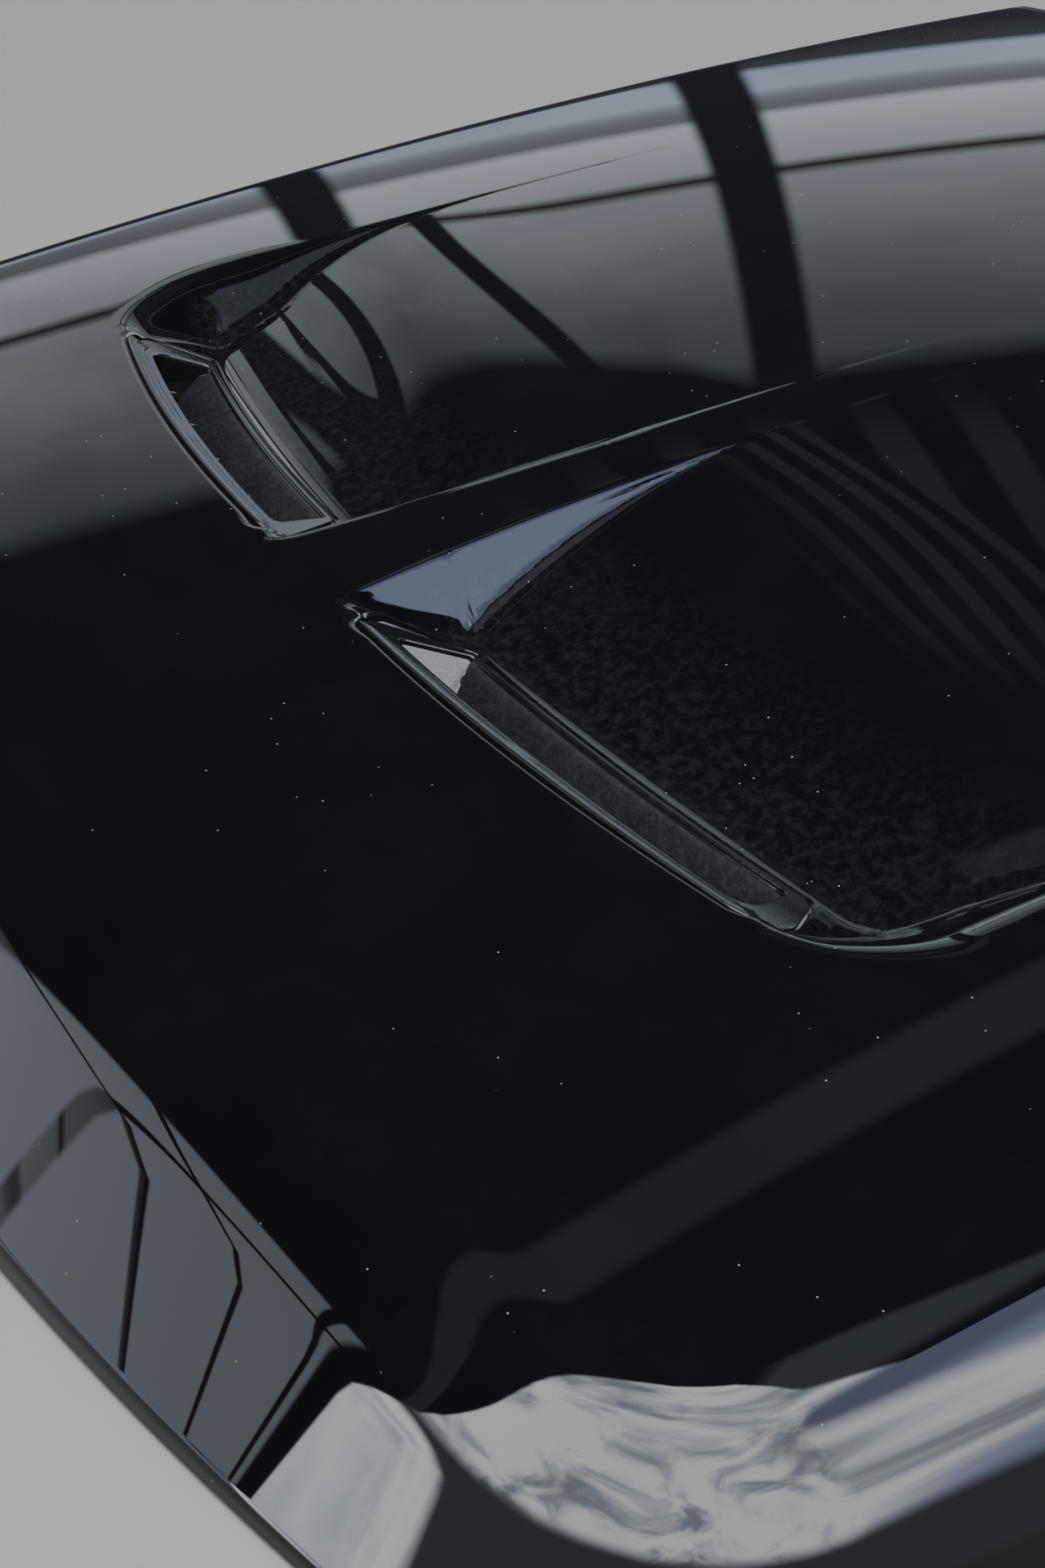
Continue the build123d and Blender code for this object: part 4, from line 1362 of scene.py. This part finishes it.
# underside: drops of the frame's lower face and of the face that liner and seals lie on
frameUnder, seatDrop = 0.034, 0.0343
pad = {
    "halfWidth": 0.530,
    "frontY": -0.620,
    "rearY": -0.035,
    "corner": 0.060,
    "full": 0.0116,
    "channel": 0.0068,
    "channelWidth": 0.0065,
    "border": 0.0034,
    "borderWidth": 0.016,
    "shoulder": 0.018,
    "pitch": 0.1325,
    "slant": 0.55,
    "pillow": (0.14, 0.34),  # share of the thickness and of the pitch
    "rim": (0.0012, 0.0025),  # how much thinner, and over what width
    "fibres": (0.045, 11, 0.00018),  # size, seed and height
    "cells": 220,
    "rows": 100,
    "clipSeat": 0.0060,
    "clipFlat": 0.010,
    "clipReach": 0.016,
    "clips": ((0.495, -0.585), (0.300, -0.590), (0.105, -0.590), (0.495, -0.330), (0.165, -0.330),
              (0.495, -0.070), (0.300, -0.065), (0.105, -0.065)),
}


def padThickness(x, y):
    # pressed border, soft shoulder, pillows between slanting channels, and a dimple at each clip
    middle = (pad["frontY"] + pad["rearY"]) / 2
    qx = np.abs(x) - pad["halfWidth"] + pad["corner"]
    qy = np.abs(y - middle) - (pad["rearY"] - pad["frontY"]) / 2 + pad["corner"]
    outside = np.hypot(np.maximum(qx, 0), np.maximum(qy, 0)) + np.minimum(np.maximum(qx, qy), 0)
    fromEdge = pad["corner"] - outside
    slant = (y - middle) * pad["slant"]
    a, b = (x + slant) / pad["pitch"], (x - slant) / pad["pitch"]
    nearest = np.minimum(np.abs(a - np.round(a)), np.abs(b - np.round(b))) * pad["pitch"]
    rise = 1 - np.exp(-(nearest / pad["channelWidth"]) ** 2)
    pillow, spread = pad["pillow"]
    crowned = 1 - pillow + pillow * smoothStep(nearest / (pad["pitch"] * spread))
    thick = pad["channel"] + (pad["full"] - pad["channel"]) * rise * crowned
    shoulder = smoothStep((fromEdge - pad["borderWidth"]) / pad["shoulder"])
    thick = pad["border"] + (thick - pad["border"]) * shoulder
    for clipX, clipY in pad["clips"]:
        near = np.hypot(np.abs(x) - clipX, y - clipY)
        dimple = 1 - smoothStep((near - pad["clipFlat"]) / pad["clipReach"])
        thick = thick + (pad["clipSeat"] - thick) * dimple * (thick > pad["clipSeat"])
    thinner, width = pad["rim"]
    return thick - thinner * (1 - smoothStep(fromEdge / width))


def makePad():
    bend = np.linspace(0, math.pi / 2, 16)
    front, rear, corner = pad["frontY"], pad["rearY"], pad["corner"]
    straight = np.linspace(front + corner, rear - corner, pad["rows"])[1:-1]
    inset = corner * (1 - np.sin(bend))
    rows = np.concatenate([front + inset[::-1], straight, rear - inset])
    inCorner = np.clip(np.maximum(front + corner - rows, rows - rear + corner), 0, corner)
    reach = pad["halfWidth"] - corner + np.sqrt(corner ** 2 - inCorner ** 2)
    t = np.linspace(-1, 1, pad["cells"] + 1)
    across = np.sign(t) * (0.9 * np.abs(t) + 0.1 * np.sin(np.abs(t) * math.pi / 2))
    x = reach[:, None] * across
    y = np.repeat(rows[:, None], len(t), axis=1)
    size, seed, height = pad["fibres"]
    flat = np.stack([x, y, 0 * x], axis=-1).reshape(-1, 3)
    thick = padThickness(x, y) + roughness(flat, size, seed).reshape(x.shape) * height
    sheets = [onCrown(x, y, seatDrop + drop).reshape(-1, 3) for drop in (0.0001, thick)]
    rowCount, columnCount = x.shape
    below = rowCount * columnCount
    faces = []
    for quad in cellFaces(rowCount, columnCount):
        faces += [quad, tuple(below + k for k in reversed(quad))]
    rim = rimIds(0, rowCount - 1, 0, columnCount - 1, columnCount)
    faces += [(b, a, below + a, below + b) for a, b in zip(rim, rim[1:] + rim[:1])]
    return np.concatenate(sheets), faces


liner = finishPiece("linerPad", makePad(), "felt", "insulation_pad")
print("pad", len(liner.data.polygons), "faces")

seal = {
    "width": 0.0104,
    "height": 0.0127,
    "bulb": 0.0048,
    "foot": 0.0022,
    "lip": 0.0010,
    "stations": 190,
    "front": {"radius": 2.3605, "middleY": 1.189, "half": 0.499},
    "cowl": {"radius": 7.4195, "middleY": 7.395, "half": 0.619},
}


def makeSeal(line):
    # flat foot with thin lips, and a round bulb below it
    half, bulb, foot = seal["width"] / 2, seal["bulb"], seal["foot"]
    lip = [(half, 0.0001), (half, seal["lip"]), (half * 0.82, foot), (bulb * 0.55, foot + 0.0005)]
    section = [(-away, down) for away, down in lip]
    for angle in np.radians(np.linspace(-52, 232, 19)):
        section.append((-bulb * math.cos(angle), seal["height"] - bulb + bulb * math.sin(angle)))
    across, down = np.array(section + lip[::-1]).T
    reach = math.asin(line["half"] / line["radius"])
    angles = np.linspace(-reach, reach, seal["stations"])[:, None]
    x = (line["radius"] + across) * np.sin(angles)
    y = line["middleY"] - (line["radius"] + across) * np.cos(angles)
    return onCrown(x, y, seatDrop + down).reshape(-1, 3), barFaces(seal["stations"], len(across))


finishPiece("noseSeal", makeSeal(seal["front"]), "seal_rubber", "front_seal")
finishPiece("cowlSeal", makeSeal(seal["cowl"]), "seal_rubber", "cowl_seal")
print("seals laid")

hem = {
    "section": ((0.00425, 0.0010), (0.00425, 0.0135), (0.0046, 0.0143), (0.0052, 0.0143), (0.0056, 0.0135),
                (0.0056, 0.0016), (0.0052, 0.0006), (0.0046, 0.0006)),
    "rearY": 0.026,
    "weldRise": 0.0078,
    "weldInset": 0.0054,
}


def hemPoints(stations, inset, rise):
    normal = wallPoint(stations, np.full_like(stations, rise))[1]
    lifted, normal = wallPoint(stations, rise + inset * normal[:, 2])
    return lifted - normal * inset, normal


def hemStations():
    flank = np.linspace(0.0, 1.0, 90)
    place = wallPoint(flank, np.zeros_like(flank))[0]
    start = float(np.interp(-hem["rearY"], -place[:, 1], flank))
    return np.concatenate([np.linspace(start, 1, 60)[:-1], np.linspace(1, 2, 22)[:-1], np.linspace(2, 3, 50)])


def makeHem():
    # folded flange along the lower edge of flanks and nose
    stations = hemStations()
    half = np.stack([hemPoints(stations, inset, rise)[0] for inset, rise in hem["section"]], axis=1)
    rings = np.concatenate([half, half[-2::-1] * flip])
    return rings.reshape(-1, 3), barFaces(len(rings), len(hem["section"]))


finishPiece("hemFlange", makeHem(), "inner_panel")

# pressed beads round the open windows of the frame, each given by its middle and its size
bead = {
    "windows": ((0.165, -1.085, 0.200, 0.104), (0.452, -1.070, 0.120, 0.084), (0.590, -0.800, 0.090, 0.260),
                (0.600, -0.520, 0.084, 0.170)),
    "away": 0.0065,
    "corner": 0.022,
    "around": 120,
    "section": ((-0.0036, -0.0004), (-0.0031, 0.0007), (-0.0018, 0.0017), (0.0, 0.0021), (0.0018, 0.0017),
                (0.0031, 0.0007), (0.0036, -0.0004)),
}


def makeBead(x, y, width, length):
    rings, corner, around = [], bead["corner"], bead["around"]
    for across, down in bead["section"]:
        radius = corner + bead["away"] + across
        plan = []
        for quarter, (alongX, alongY) in enumerate(((1, 1), (-1, 1), (-1, -1), (1, -1))):
            middle = x + alongX * (width / 2 - corner), y + alongY * (length / 2 - corner)
            for angle in np.radians(np.linspace(0, 90, 10) + 90 * quarter):
                plan.append((middle[0] + radius * math.cos(angle), middle[1] + radius * math.sin(angle)))
        plan = resample(np.array(plan + plan[:1]), np.linspace(0, 1, around + 1))[:-1]
        rings.append(onCrown(*plan.T, frameUnder + down))
    return np.concatenate(rings), ringFaces(len(rings), around, closed=True)


beads = [makeBead(side * x, *rest) for x, *rest in bead["windows"] for side in (1, -1)]
finishPiece("windowBeads", joinParts(beads), "inner_panel", degrees=60)
print("hem and beads laid")


# fasteners: one tree for each kind, set on points that carry their direction
def stackDiscs(tree, *layers):
    # frustums one on another; each is sides, lower radius, upper radius, start and height
    joined = tree.nodes.new("GeometryNodeJoinGeometry")
    for sides, low, high, start, height in layers:
        inputs = {"Vertices": sides, "Radius Top": high, "Radius Bottom": low, "Depth": height}
        cone = addNode(tree, "GeometryNodeMeshCone", inputs).outputs["Mesh"]
        lift = addNode(tree, "ShaderNodeCombineXYZ", {"Z": start}).outputs[0]
        moved = addNode(tree, "GeometryNodeTransform", {"Geometry": cone, "Translation": lift})
        tree.links.new(moved.outputs[0], joined.inputs[0])
    return joined.outputs[0]


def placeShapes(tree, points, shape, result, material):
    out = addNode(tree, "GeometryNodeInputNamedAttribute", data_type="FLOAT_VECTOR", inputs={"Name": "out"})
    out = {"Vector": out.outputs["Attribute"]}
    turn = addNode(tree, "FunctionNodeAlignRotationToVector", out, axis="Z").outputs[0]
    inputs = {"Points": points, "Instance": shape, "Rotation": turn}
    placed = addNode(tree, "GeometryNodeInstanceOnPoints", inputs).outputs[0]
    real = addNode(tree, "GeometryNodeRealizeInstances", {"Geometry": placed}).outputs[0]
    dressed = addNode(tree, "GeometryNodeSetMaterial", {"Geometry": real, "Material": material})
    feed(tree, result["Geometry"], dressed.outputs[0])


def buildTree(name, slotName, sizes):
    # sizes come in the order in which the shape of each kind takes them
    tree, given, result = newTree(name, "Geometry", "Geometry", sizes, "Geometry", "Geometry")
    points = given["Geometry"]

    def part(value, share):
        return mathNode(tree, "MULTIPLY", value, share)

    if name == "flangeBolt":
        head, high, flange, low = (given[label] for label in sizes)
        top = mathNode(tree, "ADD", low, high)
        shape = stackDiscs(tree, (24, flange, part(flange, 0.90), 0.0, low), (6, head, head, 0.0, top),
                           (6, head, part(head, 0.86), top, part(high, 0.18)))
    elif name == "pushClip":
        radius, high = (given[label] for label in sizes)
        low = part(high, 0.45)
        shape = stackDiscs(tree, (28, radius, radius, 0.0, low),
                           (28, radius, part(radius, 0.78), low, part(high, 0.55)),
                           (20, part(radius, 0.42), part(radius, 0.36), high, part(high, 0.35)))
    else:
        spacing, radius, high = (given[label] for label in sizes)
        curve = addNode(tree, "GeometryNodeMeshToCurve", {"Mesh": points}).outputs[0]
        inputs = {"Curve": curve, "Length": spacing}
        points = addNode(tree, "GeometryNodeCurveToPoints", inputs, mode="LENGTH").outputs["Points"]
        shape = stackDiscs(tree, (16, radius, part(radius, 0.62), 0.0, high))
    placeShapes(tree, points, shape, result, finishes[slotName])
    return tree


def fasten(name, tree, sizes, points, outs, edges, slotName):
    mesh = bpy.data.meshes.new(name + "Points")
    mesh.from_pydata([tuple(map(float, p)) for p in points], edges, [])
    direction = mesh.attributes.new("out", "FLOAT_VECTOR", "POINT")
    direction.data.foreach_set("vector", np.asarray(outs, np.float32).ravel())
    carrier = addObject(name + "Points", mesh)
    modifier = carrier.modifiers.new("shapes", "NODES")
    modifier.node_group = tree
    for item in tree.interface.items_tree:
        if item.in_out == "INPUT" and item.name in sizes:
            modifier[item.identifier] = sizes[item.name]
    evaluated = carrier.evaluated_get(bpy.context.evaluated_depsgraph_get())
    made = bpy.data.meshes.new_from_object(evaluated)
    bpy.data.objects.remove(carrier)
    bpy.data.meshes.remove(mesh)
    made.name = name
    piece = addObject(name, made)
    shadeSmooth(piece, 30)
    dress(piece, "bonnet", slotName)
    print(name, len(made.polygons), "faces")


def underPoints(places, drop):
    # both sides of the centre line, on a face that lies at a drop under the outer surface
    x, y = np.array([(side * x, y) for x, y in places for side in (1, -1)]).T
    return onCrown(x, y, drop), -crownNormal(x, y, drop)


fasteners = {
    "strikerBolts": {"places": ((0.315, -1.108), (0.355, -1.108)), "drop": 0.0373, "Head Radius": 0.0058},
    "catchBolts": {"places": ((0.016, -1.099), (0.016, -1.121)), "drop": 0.0373, "Head Radius": 0.0040,
                   "Flange Radius": 0.0058, "Head Height": 0.0030},
    "hingeBolts": {"places": ((0.680, -0.176), (0.680, -0.128), (0.680, -0.080)), "drop": 0.0383},
    "strutBolts": {"places": ((0.648, -0.344), (0.648, -0.316)), "drop": 0.0373, "Head Radius": 0.0048,
                   "Flange Radius": 0.0066, "Head Height": 0.0034},
}
boltSizes = {"Head Radius": 0.0062, "Head Height": 0.0046, "Flange Radius": 0.0085, "Flange Height": 0.0016}
boltTree = buildTree("flangeBolt", "zinc_steel", boltSizes)
for name, spec in fasteners.items():
    fasten(name, boltTree, spec, *underPoints(spec["places"], spec["drop"]), [], "zinc_steel")
clipTree = buildTree("pushClip", "stop_rubber", {"Clip Radius": 0.0105, "Clip Height": 0.0022})
clipSpots = underPoints(pad["clips"], seatDrop + pad["clipSeat"] - 0.0002)
fasten("padClips", clipTree, {}, *clipSpots, [], "stop_rubber")
weldSizes = {"Spacing": 0.045, "Weld Radius": 0.0032, "Weld Height": 0.0006}
weldTree = buildTree("spotWelds", "inner_panel", weldSizes)
halves = hemPoints(hemStations(), hem["weldInset"], hem["weldRise"])
weldLine, weldNormal = (np.concatenate([half, half[-2::-1] * flip]) for half in halves)
weldEdges = [(k, k + 1) for k in range(len(weldLine) - 1)]
fasten("hemWelds", weldTree, {}, weldLine, -weldNormal, weldEdges, "inner_panel")
print("fasteners set")
